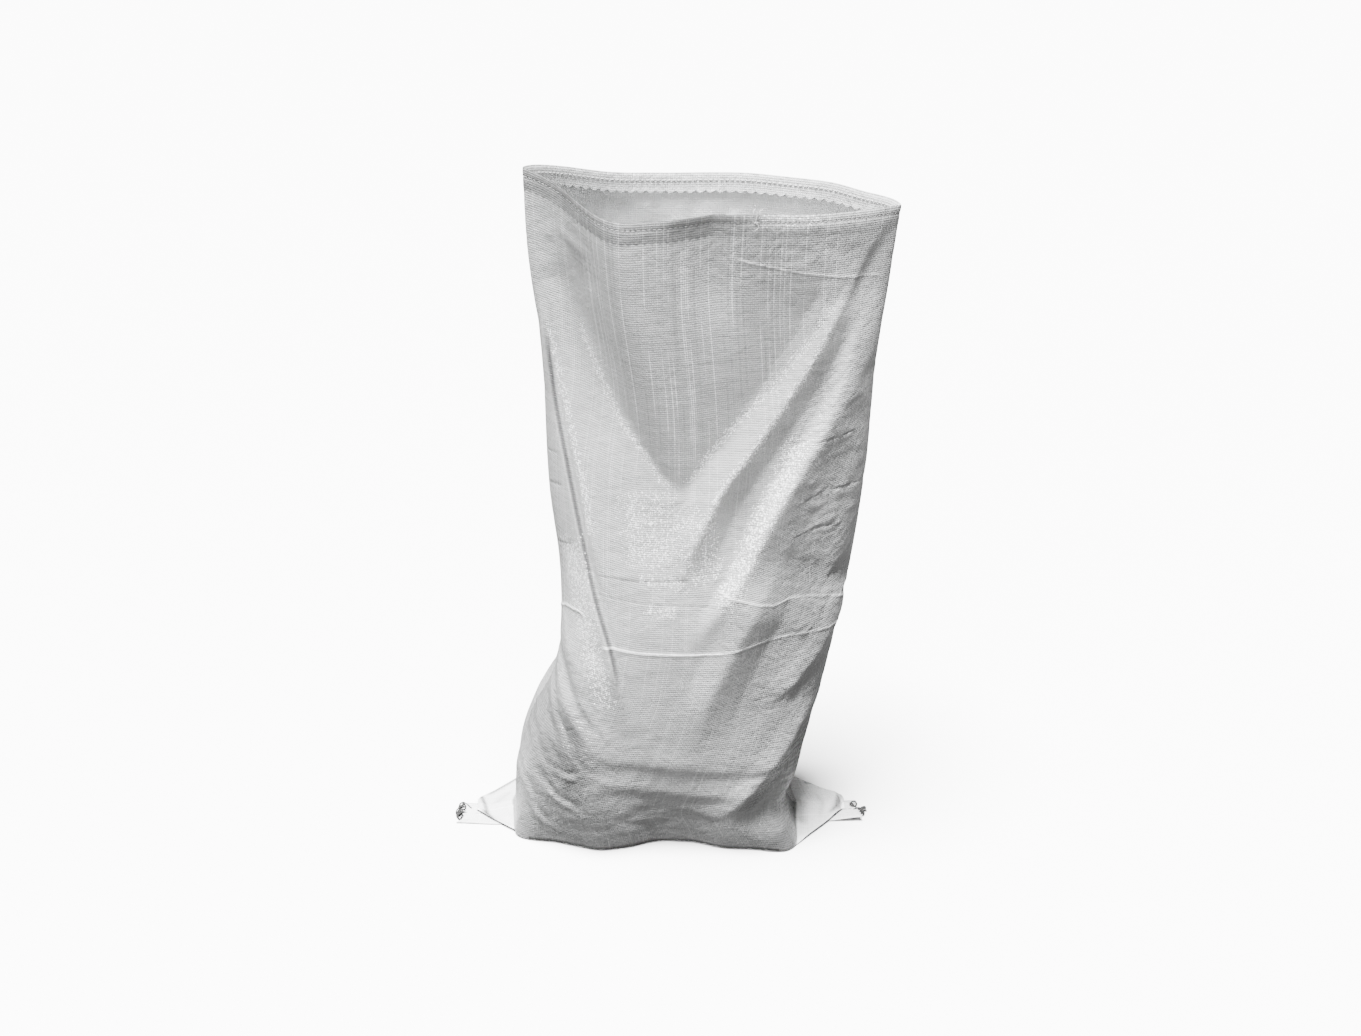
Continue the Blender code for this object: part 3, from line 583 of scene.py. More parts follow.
def flat_rows(wall):
    """One side's half of the bottom, as rows from the seam to the wall, with its ears."""
    rows = np.zeros((CORNER, COLUMNS + 1, 3))
    left_corner, right_corner = wall[CORNER], wall[COLUMNS - CORNER]
    seam_x = np.interp(np.arange(COLUMNS + 1), [CORNER, COLUMNS - CORNER], [left_corner[0], right_corner[0]])
    seam = np.stack([seam_x, np.full_like(seam_x, SEAM_Y), np.full_like(seam_x, GROUND)], axis=1)
    for j in range(CORNER):
        up = j / CORNER
        rows[j] = seam + (wall - seam) * up
        rows[j, :, 2] = GROUND + SEAM_LAYER * (1 - up)
        for ear in range(CORNER):
            into = (CORNER - ear) / CORNER
            rows[j, ear] = ear_place(into, up, left_corner, wall[0], EAR_TIP_LEFT)
            rows[j, COLUMNS - ear] = ear_place(into, up, right_corner, wall[COLUMNS], EAR_TIP_RIGHT)
    return rows


def inside(row, distance):
    """A row of the tube moved towards its inside, with its corners mitred."""
    closed = row[:-1, :2]
    along = np.roll(closed, -1, axis=0) - closed
    normal = np.stack([-along[:, 1], along[:, 0]], axis=1)
    normal /= np.maximum(np.linalg.norm(normal, axis=1), 1e-9)[:, None]
    before = np.roll(normal, 1, axis=0)
    mitre = (normal + before) / np.maximum(1 + np.sum(normal * before, axis=1), 0.3)[:, None]
    moved = row.copy()
    moved[:-1, :2] += mitre * np.broadcast_to(distance, len(row))[:-1, None]
    moved[-1] = moved[0]
    return moved


def cloth_grid():
    """Where each grid point of the cloth is: rows from the bottom seam to the hem's raw edge."""
    sides = []
    for side in ("front", "back"):
        levels = np.arange(WALL_ROWS + 1) / WALL_ROWS
        walls = np.array([lean_to_ears(wall_line(side, level)) for level in levels])
        walls[:, :, 2] += GROUND + LAYER * (1 - np.linspace(0, 1, len(walls)))[:, None]
        sides.append(np.concatenate([flat_rows(walls[0]), walls]))
    front, back = sides
    grid = np.concatenate([front[:, :-1], back[:, ::-1]], axis=1)
    flare = np.interp(np.linspace(-1, 1, COLUMNS + 1), *zip(*RIM_FLARE))
    flare = np.concatenate([flare[:-1], np.full(COLUMNS + 1, RIM_FLARE_BACK)])
    flare[-1] = flare[0]
    for row in range(ROWS - 4, ROWS + 1):
        lean = max(0.0, 1 - (ROWS - row) * CELL / RIM_FLARE_DEPTH)
        grid[row] = inside(grid[row], -flare * lean)
    hem = [inside(grid[ROWS - h], HEM_GAP + HEM_LOOSE * (h / HEM_ROWS) ** 3) for h in range(1, HEM_ROWS + 1)]
    hem[-1][1::3, 2] += PINKING
    hem[-1][2::3, 2] += PINKING * 0.2
    hem[-1][-1] = hem[-1][0]
    return np.concatenate([grid, np.array(hem)])


# Meshes and objects.

def mesh_of(name, bm):
    """A mesh from a bmesh, which it frees."""
    mesh = bpy.data.meshes.new(name)
    bm.to_mesh(mesh)
    bm.free()
    return mesh


def linked(name, data):
    """An object of the scene."""
    item = bpy.data.objects.new(name, data)
    bpy.context.scene.collection.objects.link(item)
    return item


def grid_mesh(grid):
    """A bmesh of the cloth's grid, with UVs in metres."""
    rows, columns = grid.shape[:2]
    bm = bmesh.new()
    uv = bm.loops.layers.uv.new("cloth")
    bmesh.ops.create_grid(bm, x_segments=columns - 1, y_segments=rows - 1, size=1.0)
    bm.verts.ensure_lookup_table()
    width = 2 * FLAT_WIDTH / (columns - 1)
    height = CUT_LENGTH / (rows - 1)
    for face in bm.faces:
        for loop in face.loops:
            row, column = divmod(loop.vert.index, columns)
            loop[uv].uv = (column * width, row * height)
    for vert, place in zip(bm.verts, grid.reshape(-1, 3)):
        vert.co = place
    return bm


def sew(bm):
    """Joins the cloth's side and its bottom seam."""
    bmesh.ops.remove_doubles(bm, verts=bm.verts, dist=0.00005)
    bmesh.ops.recalc_face_normals(bm, faces=bm.faces)


# The slack's small wrinkles.

def hold(row, rows):
    """How firmly the cloth keeps to its form, from 0 to 1, at a row of the coarse grid."""
    up = row / (rows - 1)
    if up < (CORNER + 1) / (ROWS + HEM_ROWS) or up > (ROWS - 10) / (ROWS + HEM_ROWS):
        return 1.0
    return HOLD


def wrinkle_share(rows, columns):
    """The share of the wrinkles that each point of the grid keeps."""
    up, across = np.meshgrid(np.linspace(0, 1, rows), np.linspace(0, 2, columns), indexing="ij")
    share = np.where(across > 1, WRINKLED_BEHIND * smooth(np.minimum(across - 1, 2 - across) / 0.2), 0.0)
    share = np.maximum(share, WRINKLED)
    for kept, middle, reach in LOOSE:
        share = np.maximum(share, kept * near(across, up, middle, reach, PATCH_EDGE))
    return share[:, :, None]


def finer(values, axis):
    """Twice as many samples along an axis, with smooth ones between the given ones."""
    values = np.moveaxis(values, axis, 0)
    padded = np.concatenate([values[:1], values, values[-1:]])
    out = np.empty((2 * len(values) - 1, *values.shape[1:]))
    out[::2] = values
    out[1::2] = (9 * (padded[1:-2] + padded[2:-1]) - padded[:-3] - padded[3:]) / 16
    return np.moveaxis(out, 0, axis)


def wrinkled(grid):
    """The grid again, after a short cloth simulation of its slack."""
    coarse = grid[::2, ::2]
    rows, columns = coarse.shape[:2]
    bm = grid_mesh(coarse)
    sew(bm)
    cloth = linked("slack", mesh_of("slack", bm))
    vertices = cloth.data.vertices
    tree = kdtree.KDTree(len(vertices))
    for vert in vertices:
        tree.insert(vert.co, vert.index)
    tree.balance()
    index = np.array([tree.find(place)[1] for place in coarse.reshape(-1, 3)])
    group = cloth.vertex_groups.new(name="hold")
    for number, vert in enumerate(index):
        group.add([int(vert)], hold(number // columns, rows), "REPLACE")

    settings = cloth.modifiers.new("slack", "CLOTH").settings
    settings.quality = 6
    settings.mass = 0.15
    settings.tension_stiffness = 30
    settings.compression_stiffness = 30
    settings.shear_stiffness = 12
    settings.bending_stiffness = 0.8
    settings.air_damping = 3
    settings.shrink_min = -SLACK
    settings.vertex_group_mass = "hold"
    settings.pin_stiffness = 1.0
    settings.effector_weights.gravity = 0.0
    scene = bpy.context.scene
    for number in range(1, WRINKLE_FRAMES + 1):
        scene.frame_set(number)
    after = cloth.evaluated_get(bpy.context.evaluated_depsgraph_get()).data
    places = np.empty(len(after.vertices) * 3, dtype=np.float32)
    after.vertices.foreach_get("co", places)
    places = places.reshape(-1, 3)[index].reshape(rows, columns, 3)
    bpy.data.objects.remove(cloth)
    scene.frame_set(1)
    moved = finer(finer(places - coarse, axis=0), axis=1)
    return grid + moved[: grid.shape[0], : grid.shape[1]] * wrinkle_share(*grid.shape[:2])


# The finished cloth.

def split_ear_folds(bm, columns):
    """Cuts each cell that an ear's fold crosses along that fold."""
    bm.verts.ensure_lookup_table()
    for j in range(CORNER):
        for start, step in ((0, 1), (COLUMNS, -1), (COLUMNS, 1), (2 * COLUMNS, -1)):
            a = bm.verts[j * columns + start + step * j]
            b = bm.verts[(j + 1) * columns + start + step * (j + 1)]
            shared = [face for face in a.link_faces if face in b.link_faces]
            if shared and not any(b in edge.verts for edge in a.link_edges):
                bmesh.utils.face_split(shared[0], a, b)


def cloth_place(vert, uv):
    """A point's place on the flat cloth, with the right side of the left fold at 0."""
    u, v = vert.link_loops[0][uv].uv
    return u % (2 * FLAT_WIDTH), v


def refine(bm, uv):
    """Smaller cells along the creases, the crisp edge and the hem's stitches."""
    verts = list(bm.verts)
    u, v = np.array([cloth_place(vert, uv) for vert in verts]).T
    x, y, z = np.array([vert.co for vert in verts]).T
    close = (np.abs(to_line(x, z, rounded(CRISP_EDGE))[0]) < 1.6 * CELL) & (u < FLAT_WIDTH)
    for height, tone, half_width, line in CREASES:
        close |= np.abs(to_line(u, v, line)[0]) < half_width + CELL
    bm.verts.index_update()
    chosen = [edge for edge in bm.edges if close[edge.verts[0].index] and close[edge.verts[1].index]]
    bmesh.ops.subdivide_edges(bm, edges=chosen, cuts=2, use_grid_fill=True)
    rungs = []
    low, high = FLAT_LENGTH - 4.1 * CELL, FLAT_LENGTH + 0.1 * CELL
    for edge in bm.edges:
        heights = [cloth_place(vert, uv)[1] for vert in edge.verts]
        if min(heights) > low and max(heights) < high and abs(heights[0] - heights[1]) > CELL / 2:
            rungs.append(edge)
    bmesh.ops.subdivide_edges(bm, edges=rungs, cuts=2, use_grid_fill=True)


def along_creases(u, v):
    """All creases' relief, and their lighter or darker tone."""
    relief, tone = np.zeros_like(u), np.zeros_like(u)
    for height, light, half_width, line in CREASES:
        low, high = np.min(line, axis=0) - 2 * half_width, np.max(line, axis=0) + 2 * half_width
        close = (u > low[0]) & (u < high[0]) & (v > low[1]) & (v < high[1])
        apart, share = to_line(u[close], v[close], line)
        ends = faded_ends(share, CREASE_END / np.hypot(*np.diff(line, axis=0).T).sum())
        relief[close] += height * ends * np.interp(np.abs(apart) / half_width, *zip(*CREASE_SECTION))
        tone[close] += light * ends * np.interp(np.abs(apart) / half_width, *zip(*CREASE_TONE_SECTION))
    return relief, tone


def along_crisp_edge(places, section):
    """The values of a section across the left fold's crisp edge."""
    apart, share = to_line(places[:, 0], places[:, 2], rounded(CRISP_EDGE))
    return faded_ends(share, CRISP_END) * np.interp(apart, *zip(*section))


def sharp_noise(place):
    """Noise with sharp valleys, from about -0.35 to 0.65."""
    return abs(noise.noise(place)) + 0.5 * abs(noise.noise(place * 2.17)) - 0.35


def crinkle_relief(places, front):
    """The small crinkles' height at each place: long grains in their patches, and a little everywhere."""
    total = np.array([CRINKLE_EVERYWHERE * sharp_noise(Vector(place) * CRINKLE_SCALE) for place in places])
    x, z = places[:, 0], places[:, 2]
    for side, middle, reach, height, grain, slope, stretch in CRINKLES:
        share = near(x, z, middle, reach) * (front if side == "front" else ~front)
        c, s = math.cos(math.radians(slope)), math.sin(math.radians(slope))
        along = (x * c + z * s) / (grain * stretch)
        across = (z * c - x * s) / grain
        for k in np.nonzero(share)[0]:
            total[k] += height * share[k] * sharp_noise(Vector((along[k], across[k], 0.0)))
    return total


def add_relief(bm, uv):
    """The hem's swell and groove, the packing creases and the small crinkles, as moves along the normals."""
    bm.normal_update()
    u, v = np.array([cloth_place(vert, uv) for vert in bm.verts]).T
    places = np.array([vert.co for vert in bm.verts])
    standing = smooth((v - HALF_DEPTH - CELL) / FADE) * smooth((FLAT_LENGTH - v) / FADE)
    front = u < FLAT_WIDTH
    relief = along_creases(u, v)[0] + crinkle_relief(places, front)
    relief = (relief + along_crisp_edge(places, CRISP_SECTION) * front) * standing
    relief += np.where(v <= FLAT_LENGTH, np.interp(FLAT_LENGTH - v, *zip(*HEM_CURVE)), 0.0)
    for vert, push in zip(bm.verts, relief):
        vert.co += vert.normal * float(push)
    return places, u, v


def paint(mesh, places, u, v):
    """Attributes on the cloth for its finish: painted glints, painted shade with some dirt, crease marks,
    crinkles and streaks.
    """
    front = (u < FLAT_WIDTH) & (v > HALF_DEPTH)
    x, y, z = places.T
    painted_glint, ears = np.zeros(len(u)), np.zeros(len(u))
    # painted glints along the lit ridges
    for chance, reach, line in PAINTED_GLINTS:
        apart, share = to_line(x, z, rounded(line))
        painted_glint = np.maximum(painted_glint, chance * faded_ends(share, 0.12) * smooth(1.25 - np.abs(apart) / reach))
    # painted shade on the ears' folds and edges
    for half_width, lost, line in EAR_PAINTED_SHADE:
        apart, share = to_line(x, y, line)
        ears = np.maximum(ears, lost * faded_ends(share, 0.15) * smooth(1 - np.abs(apart) / half_width))
    # painted shade, with some dirt: along the crisp edge and in the patches in front
    shade_and_dirt = along_crisp_edge(places, CRISP_EDGE_SHADE)
    for middle, reach, lost in SHADE_AND_DIRT_PATCHES:
        shade_and_dirt += lost * near(x, z, middle, reach)
    crumpled = np.where(front, 0.0, CRUMPLED_BEHIND)
    for middle, reach in CRUMPLED:
        crumpled = np.maximum(crumpled, near(x, z, middle, reach, PATCH_EDGE) * front)
    in_facet = smooth((x - np.interp(z, *zip(*FACET_LEFT))) / FADE)
    in_facet *= smooth((np.interp(z, *zip(*FACET_RIGHT)) - x) / FADE) * front
    layers = {
        "painted_glint": painted_glint * front,
        "shade_and_dirt": shade_and_dirt * front + ears * (v < HALF_DEPTH + CELL),
        "crease_mark": along_creases(u, v)[1],
        "crumpled": crumpled,
        "streaked": STREAKS_OUTSIDE + (1.0 - STREAKS_OUTSIDE) * in_facet,
    }
    for name, values in layers.items():
        layer = mesh.attributes.new(name, "FLOAT", "POINT")
        layer.data.foreach_set("value", values.astype(np.float32))


def make_cloth():
    """The whole sack's cloth, and the grid that its stitches follow."""
    grid = cloth_grid()
    grid = wrinkled(grid)
    bm = grid_mesh(grid)
    split_ear_folds(bm, grid.shape[1])
    sew(bm)
    uv = bm.loops.layers.uv["cloth"]
    refine(bm, uv)
    places, u, v = add_relief(bm, uv)
    mesh = mesh_of("sack_cloth", bm)
    paint(mesh, places, u, v)
    mesh.shade_smooth()
    mesh.set_sharp_from_angle(angle=math.radians(75))
    return linked("sack_cloth", mesh), grid


# The folded seam under the base.

def strip_place(along, across):
    """A point of the folded seam: along 0 to 1 from its left end, across -1 in front to 1 behind."""
    x = STRIP_LEFT[0] + (STRIP_RIGHT[0] - STRIP_LEFT[0]) * along
    y = STRIP_LEFT[1] + (STRIP_RIGHT[1] - STRIP_LEFT[1]) * along + across * STRIP_WIDTH / 2
    left, right = smooth((STRIP_END - along) / STRIP_END), smooth((along - 1 + STRIP_END) / STRIP_END)
    curls = [middle + behind * across for middle, behind in STRIP_CURLS]
    z = STRIP_UP + left * curls[0] + right * curls[1]
    x -= STRIP_CORNER * left * across**2 - STRIP_WAVE * left * across
    x += STRIP_CORNER * right * max(0.0, -across)
    y += STRIP_WAVE * left * math.sin(5 * across)
    return Vector((x, y, float(z)))


def make_folded_seam():
    """The strip of folded cloth under the base, curled at its ends."""
    bm = bmesh.new()
    uv = bm.loops.layers.uv.new("cloth")
    bmesh.ops.create_grid(bm, x_segments=130, y_segments=8, size=0.5)
    for face in bm.faces:
        for loop in face.loops:
            x, y, z = loop.vert.co
            loop[uv].uv = ((x + 0.5) * FLAT_WIDTH, (y + 0.5) * STRIP_WIDTH)
    for vert in bm.verts:
        vert.co = strip_place(vert.co.x + 0.5, 2 * vert.co.y)
    bmesh.ops.recalc_face_normals(bm, faces=bm.faces)
    mesh = mesh_of("folded_seam", bm)
    mesh.shade_smooth()
    strip = linked("folded_seam", mesh)
    layers = strip.modifiers.new("layers", "SOLIDIFY")
    layers.thickness = STRIP_THICK
    layers.offset = 0.0
    return strip


# Threads.

def new_bead():
    """One stitch's plain bead, 2 across, that each stitch is a stretched copy of."""
    bm = bmesh.new()
    bmesh.ops.create_uvsphere(bm, u_segments=8, v_segments=5, radius=1.0)
    return mesh_of("bead", bm)


def add_stitch(bm, bead, middle, along, out, length, radius):
    """One stitch: a short bead of thread that dips into the cloth at both ends."""
    along, out = along.normalized(), out.normalized()
    turn = Matrix((along * (length / 2), out * radius, along.cross(out) * radius)).transposed()
    copy = bead.copy()
    copy.transform(Matrix.Translation(middle) @ turn.to_4x4())
    bm.from_mesh(copy)
    bpy.data.meshes.remove(copy)


def add_strand(bm, points, radius):
    """A loose piece of thread along a smooth curve through points."""
    curve = bpy.data.curves.new("strand", "CURVE")
    curve.dimensions = "3D"
    curve.bevel_depth = radius
    curve.bevel_resolution = 1
    curve.use_fill_caps = True
    curve.resolution_u = 5
    spline = curve.splines.new("BEZIER")
    spline.bezier_points.add(len(points) - 1)
    for knot, point in zip(spline.bezier_points, points):
        knot.co = point
        knot.handle_left_type = knot.handle_right_type = "AUTO"
    holder = linked("strand", curve)
    evaluated = holder.evaluated_get(bpy.context.evaluated_depsgraph_get())
    mesh = bpy.data.meshes.new_from_object(evaluated)
    bm.from_mesh(mesh)
    bpy.data.objects.remove(holder)
    bpy.data.curves.remove(curve)
    bpy.data.meshes.remove(mesh)


def thread_piece(name, bm):
    """A piece of thread from its stitches and its loose ends."""
    bmesh.ops.remove_doubles(bm, verts=bm.verts, dist=0.00001)
    mesh = mesh_of(name, bm)
    mesh.shade_smooth()
    return linked(name, mesh)


def rim_place(grid, column, drop):
    """A point of the cloth below the rim, its way along the rim and its way out."""
    row = ROWS - drop / CELL
    low, share = int(row), row - int(row)
    ring = grid[low] * (1 - share) + grid[low + 1] * share
    k, part = int(column) % (2 * COLUMNS), column - int(column)
    a, b = Vector(ring[k]), Vector(ring[k + 1])
    along = (b - a).normalized()
    return a.lerp(b, part), along, Vector((along.y, -along.x, 0.0)).normalized()


def add_tuft(bm, bead, grid):
    """The hem thread's knot in front, with three loose ends above the rim and one below."""
    knot, along, out = rim_place(grid, TUFT_COLUMN, STITCH_DROP)
    top, along, out = rim_place(grid, TUFT_COLUMN, 0.0)
    for side, high, turn in TUFT_ENDS:
        points = [knot + out * TUFT_OFF,
                  top + out * 0.0018 + along * side * 0.4 - UP * 0.002,
                  top + out * 0.0012 + along * side + UP * high * 0.5,
                  top + along * (side + turn) + UP * high]
        add_strand(bm, points, TUFT_THREAD)
    points = [knot + out * off + along * side + UP * up for off, side, up in TUFT_LOW_END]
    add_strand(bm, points, TUFT_LOW_THREAD)
    for side in TUFT_KNOT:
        middle = knot + along * side + out * TUFT_OFF
        add_stitch(bm, bead, middle, UP, out, TUFT_KNOT_LENGTH, TUFT_KNOT_RADIUS)


def make_hem_stitches(grid):
    """The row of stitches round the mouth, outside and inside, and the thread's loose end in front."""
    bm, bead = bmesh.new(), new_bead()
    count = round(2 * FLAT_WIDTH / STITCH_PITCH)
    for k in range(count):
        for shift, depth in ((0.5, STITCH_SUNK), (0.0, HEM_GAP + STITCH_SUNK_INSIDE)):
            middle, along, out = rim_place(grid, (k + shift) * 2 * COLUMNS / count, STITCH_DROP)
            add_stitch(bm, bead, middle - out * depth, along, out, STITCH_LENGTH, HEM_THREAD)
    add_tuft(bm, bead, grid)
    return thread_piece("hem_stitches", bm)


def make_seam_stitches():
    """The dark thread along the folded seam, with its loose loops past each ear's tip."""
    bm, bead = bmesh.new(), new_bead()
    count = round(FLAT_WIDTH / STITCH_PITCH)
    for k in range(2, count - 1):
        along = (k + 0.5) / count
        place, ahead = strip_place(along, 0.0), strip_place(along + 0.002, 0.0)
        for face in (-0.5, 0.5):
            middle = place + UP * (face * STRIP_THICK)
            add_stitch(bm, bead, middle, ahead - place, UP, STITCH_LENGTH, SEAM_THREAD)
    for points in SEAM_LOOPS:
        add_strand(bm, [Vector(point) for point in points], SEAM_LOOP_THREAD)
    for place, turn in SEAM_KNOTS:
        way = Vector((math.cos(turn), math.sin(turn), 0.3))
        add_stitch(bm, bead, Vector(place), way, way.orthogonal(), SEAM_KNOT_LENGTH, SEAM_KNOT_RADIUS)
    return thread_piece("seam_stitches", bm)


# Materials.

class Nodes:
    """The nodes of one shader tree. Each method adds what it names, and values may be numbers or sockets."""

    def __init__(self, tree):
        self.tree = tree

    def join(self, socket, value):
        """Sets a socket to a value, or links another socket to it."""
        if isinstance(value, bpy.types.NodeSocket):
            self.tree.links.new(value, socket)
        else:
            socket.default_value = value

    def new(self, kind, **inputs):
        node = self.tree.nodes.new("ShaderNode" + kind)
        for name, value in inputs.items():
            self.join(node.inputs[name], value)
        return node

    def filled(self, node, *values):
        """A node's first output, with its inputs joined in their order."""
        for socket, value in zip(node.inputs, values):
            self.join(socket, value)
        return node.outputs[0]

    def maths(self, operation, *values):
        node = self.new("Math")
        node.operation = operation
        return self.filled(node, *values)

    def times(self, product, *others):
        for value in others:
            product = self.maths("MULTIPLY", product, value)
        return product

    def plus(self, first, second):
        return self.maths("ADD", first, second)

    def minus(self, first, second):
        return self.maths("SUBTRACT", first, second)

    def scaled(self, value, factor, added):
        return self.maths("MULTIPLY_ADD", value, factor, added)

    def ranged(self, value, low, high, to_low=0.0, to_high=1.0):
        """A value's span from low to high, stretched to another span and kept inside it."""
        return self.filled(self.new("MapRange"), value, low, high, to_low, to_high)

    def vector(self, x, y, z=0.0):
        return self.filled(self.new("CombineXYZ"), x, y, z)

    def apart(self, vector):
        return self.new("SeparateXYZ", Vector=vector).outputs

    def noise(self, place, scale, detail=2.0, roughness=0.5):
        """Soft noise from 0 to 1."""
        node = self.new("TexNoise", Vector=place, Scale=scale, Detail=detail, Roughness=roughness)
        return node.outputs["Fac"]

    def even_noise(self, dimensions, socket, value):
        """A random value for each place, all equally likely."""
        node = self.new("TexWhiteNoise")
        node.noise_dimensions = dimensions
        self.join(node.inputs[socket], value)
        return node.outputs["Value"]

    def attribute(self, name):
        node = self.new("Attribute")
        node.attribute_name = name
        return node.outputs["Fac"]

    def placed(self, group, **values):
        """A group's outputs, with its inputs joined by name."""
        node = self.new("Group")
        node.node_tree = group
        for name, value in values.items():
            self.join(node.inputs[name], value)
        return node.outputs

    def bump(self, distance, height, **below):
        return self.new("Bump", Distance=distance, Height=height, **below).outputs["Normal"]


def new_material(name):
    """A material, its nodes and its shader."""
    material = bpy.data.materials.new(name)
    material.use_nodes = True
    return material, Nodes(material.node_tree), material.node_tree.nodes["Principled BSDF"]


def new_group(name, inputs, outputs):
    """An empty shader node group, what it is given and what it puts out: values, and a vector as Place."""
    tree = bpy.data.node_groups.new(name, "ShaderNodeTree")
    for direction, sockets in (("INPUT", inputs), ("OUTPUT", outputs)):
        for socket in sockets:
            kind = "NodeSocketVector" if socket == "Place" else "NodeSocketFloat"
            tree.interface.new_socket(name=socket, in_out=direction, socket_type=kind)
    given, out = tree.nodes.new("NodeGroupInput").outputs, tree.nodes.new("NodeGroupOutput").inputs
    return Nodes(tree), given, out


def weave_group():
    """Flat tapes, each over one and under the next. Heights are 0 to 1, and each tape has its tone."""
    nodes, given, out = new_group("tape_weave", ("Place", "Tape"), ("Height", "Tone", "Gap"))
    across, along = (nodes.maths("DIVIDE", part, given["Tape"]) for part in nodes.apart(given["Place"])[:2])
    ribbons, tones, gaps = [], [], []
    for own, other, sign, seed in ((across, along, 1.0, 0.37), (along, across, -1.0, 71.3)):
        number = nodes.maths("FLOOR", own)
        wave = nodes.times(nodes.maths("SINE", nodes.times(nodes.plus(other, number), math.pi)), sign)
        off = nodes.maths("ABSOLUTE", nodes.scaled(nodes.maths("FRACT", own), 2.0, -1.0))
        edge = nodes.minus(1.0, nodes.maths("POWER", off, 5.0))
        ribbons.append(nodes.times(wave, edge))
        gaps.append(nodes.minus(1.0, edge))
        place = nodes.vector(nodes.times(number, 0.41), nodes.times(other, 0.012), seed)
        tone = nodes.times(nodes.noise(place, 1.0, 1.0), 0.5)
        tones.append(nodes.scaled(nodes.even_noise("1D", "W", nodes.plus(number, seed)), 0.5, tone))
    over = nodes.maths("GREATER_THAN", *ribbons)
    nodes.join(out["Height"], nodes.maths("SMOOTH_MAX", *ribbons, 0.12))
    nodes.join(out["Tone"], nodes.plus(tones[1], nodes.times(nodes.minus(*tones), over)))
    nodes.join(out["Gap"], nodes.ranged(nodes.times(*gaps), 0.15, 0.6))
    return nodes.tree


def streak_group():
    """Tapes that lie turned in the weave: above 0 where one catches the light, below 0 where one loses it."""
    nodes, given, out = new_group(
        "turned_tapes", ("Across", "Along", "Tape", "Share", "Bright", "Dark"), ("Streak",))
    own = nodes.maths("DIVIDE", given["Across"], given["Tape"])
    number = nodes.maths("FLOOR", own)
    pick = nodes.even_noise("1D", "W", nodes.plus(number, 3.7))
    place = nodes.vector(nodes.times(number, 0.73), nodes.times(given["Along"], 9.0), 5.1)
    stretch = nodes.ranged(nodes.noise(place, 1.0), 0.42, 0.56)
    off = nodes.maths("ABSOLUTE", nodes.minus(nodes.maths("FRACT", own), 0.5))
    bright = nodes.times(nodes.maths("LESS_THAN", pick, given["Share"]), given["Bright"])
    dark = nodes.times(nodes.maths("GREATER_THAN", pick, nodes.minus(1.0, given["Share"])), given["Dark"])
    nodes.join(out["Streak"], nodes.times(nodes.minus(bright, dark), stretch, nodes.ranged(off, 0.42, 0.20)))
    return nodes.tree


def painted_glint_group():
    """Painted glints of glossy tape, as a mask: the higher the chance, the more cells of the grid are painted
    bright.
    """
    nodes, given, out = new_group("painted_glint", ("Place", "Cell", "Chance"), ("Mask",))
    parts = nodes.apart(given["Place"])[:2]
    cells = [nodes.maths("FLOOR", nodes.maths("DIVIDE", part, given["Cell"])) for part in parts]
    pick = nodes.even_noise("2D", "Vector", nodes.vector(*cells))
    clumps = nodes.ranged(nodes.noise(given["Place"], 200.0, 3.0, 0.6), 0.38, 0.66, 0.06, 0.66)
    nodes.join(out["Mask"], nodes.maths("LESS_THAN", pick, nodes.times(given["Chance"], clumps)))
    return nodes.tree


def crumple_group():
    """Fine crinkles of stiff film, as a height from 0 to 1: sharp where two noises meet."""
    nodes, given, out = new_group("crumple", ("Place", "Scale"), ("Height",))
    node = nodes.new("VectorMath")
    node.operation = "SCALE"
    nodes.join(node.inputs[0], given["Place"])
    nodes.join(node.inputs["Scale"], given["Scale"])
    total = 0.0
    for scale, share in ((1.0, 0.6), (2.3, 0.28), (5.1, 0.12)):
        bent = nodes.maths("ABSOLUTE", nodes.scaled(nodes.noise(node.outputs[0], scale, 1.0), 2.0, -1.0))
        total = nodes.scaled(bent, share * 2, total)
    nodes.join(out["Height"], total)
    return nodes.tree


def turned_tape_share(nodes, flat, inner):
    """The bright and dark turned tapes of both directions, weak on the sack's inner side."""
    across, along, _ = nodes.apart(flat)
    streaks = streak_group()
    warp = nodes.placed(streaks, Across=across, Along=along, Tape=TAPE, Share=WARP_STREAKS, Bright=WARP_GAIN,
                        Dark=WARP_LOSS)["Streak"]
    wander = nodes.scaled(nodes.noise(flat, 14.0, 1.0), WEFT_WANDER, along)
    weft = nodes.placed(streaks, Across=wander, Along=across, Tape=TAPE * 0.5, Share=WEFT_STREAKS,
                        Bright=WEFT_GAIN, Dark=WEFT_LOSS)["Streak"]
    seen = nodes.minus(1.0, nodes.times(inner, 0.75))
    return nodes.scaled(nodes.plus(warp, weft), nodes.times(seen, nodes.attribute("streaked")), 1.0)


def hem_shares(nodes, across, along):
    """The doubled cloth down to the hem's zigzag edge, painted darker as it lets less light through; the rim
    above the stitches; and the hem inside, painted lighter where the light falls on it.
    """
    below = nodes.minus(FLAT_LENGTH, along)
    teeth = nodes.times(nodes.maths("PINGPONG", across, PINK_WIDTH), PINKING / PINK_WIDTH)
    tone = nodes.ranged(across, 0.27, 0.34, HEM_TONE_LEFT, HEM_TONE)
    edge = HEM_DEPTH + PINKING
    return (nodes.ranged(nodes.plus(below, teeth), edge, edge - 0.0008, 1.0, tone),
            nodes.ranged(below, STITCH_DROP - 0.0015, STITCH_DROP + 0.0005, 1.12, 1.0),
            nodes.ranged(along, FLAT_LENGTH, FLAT_LENGTH + 0.0003, 1.0, INSIDE_TONE))


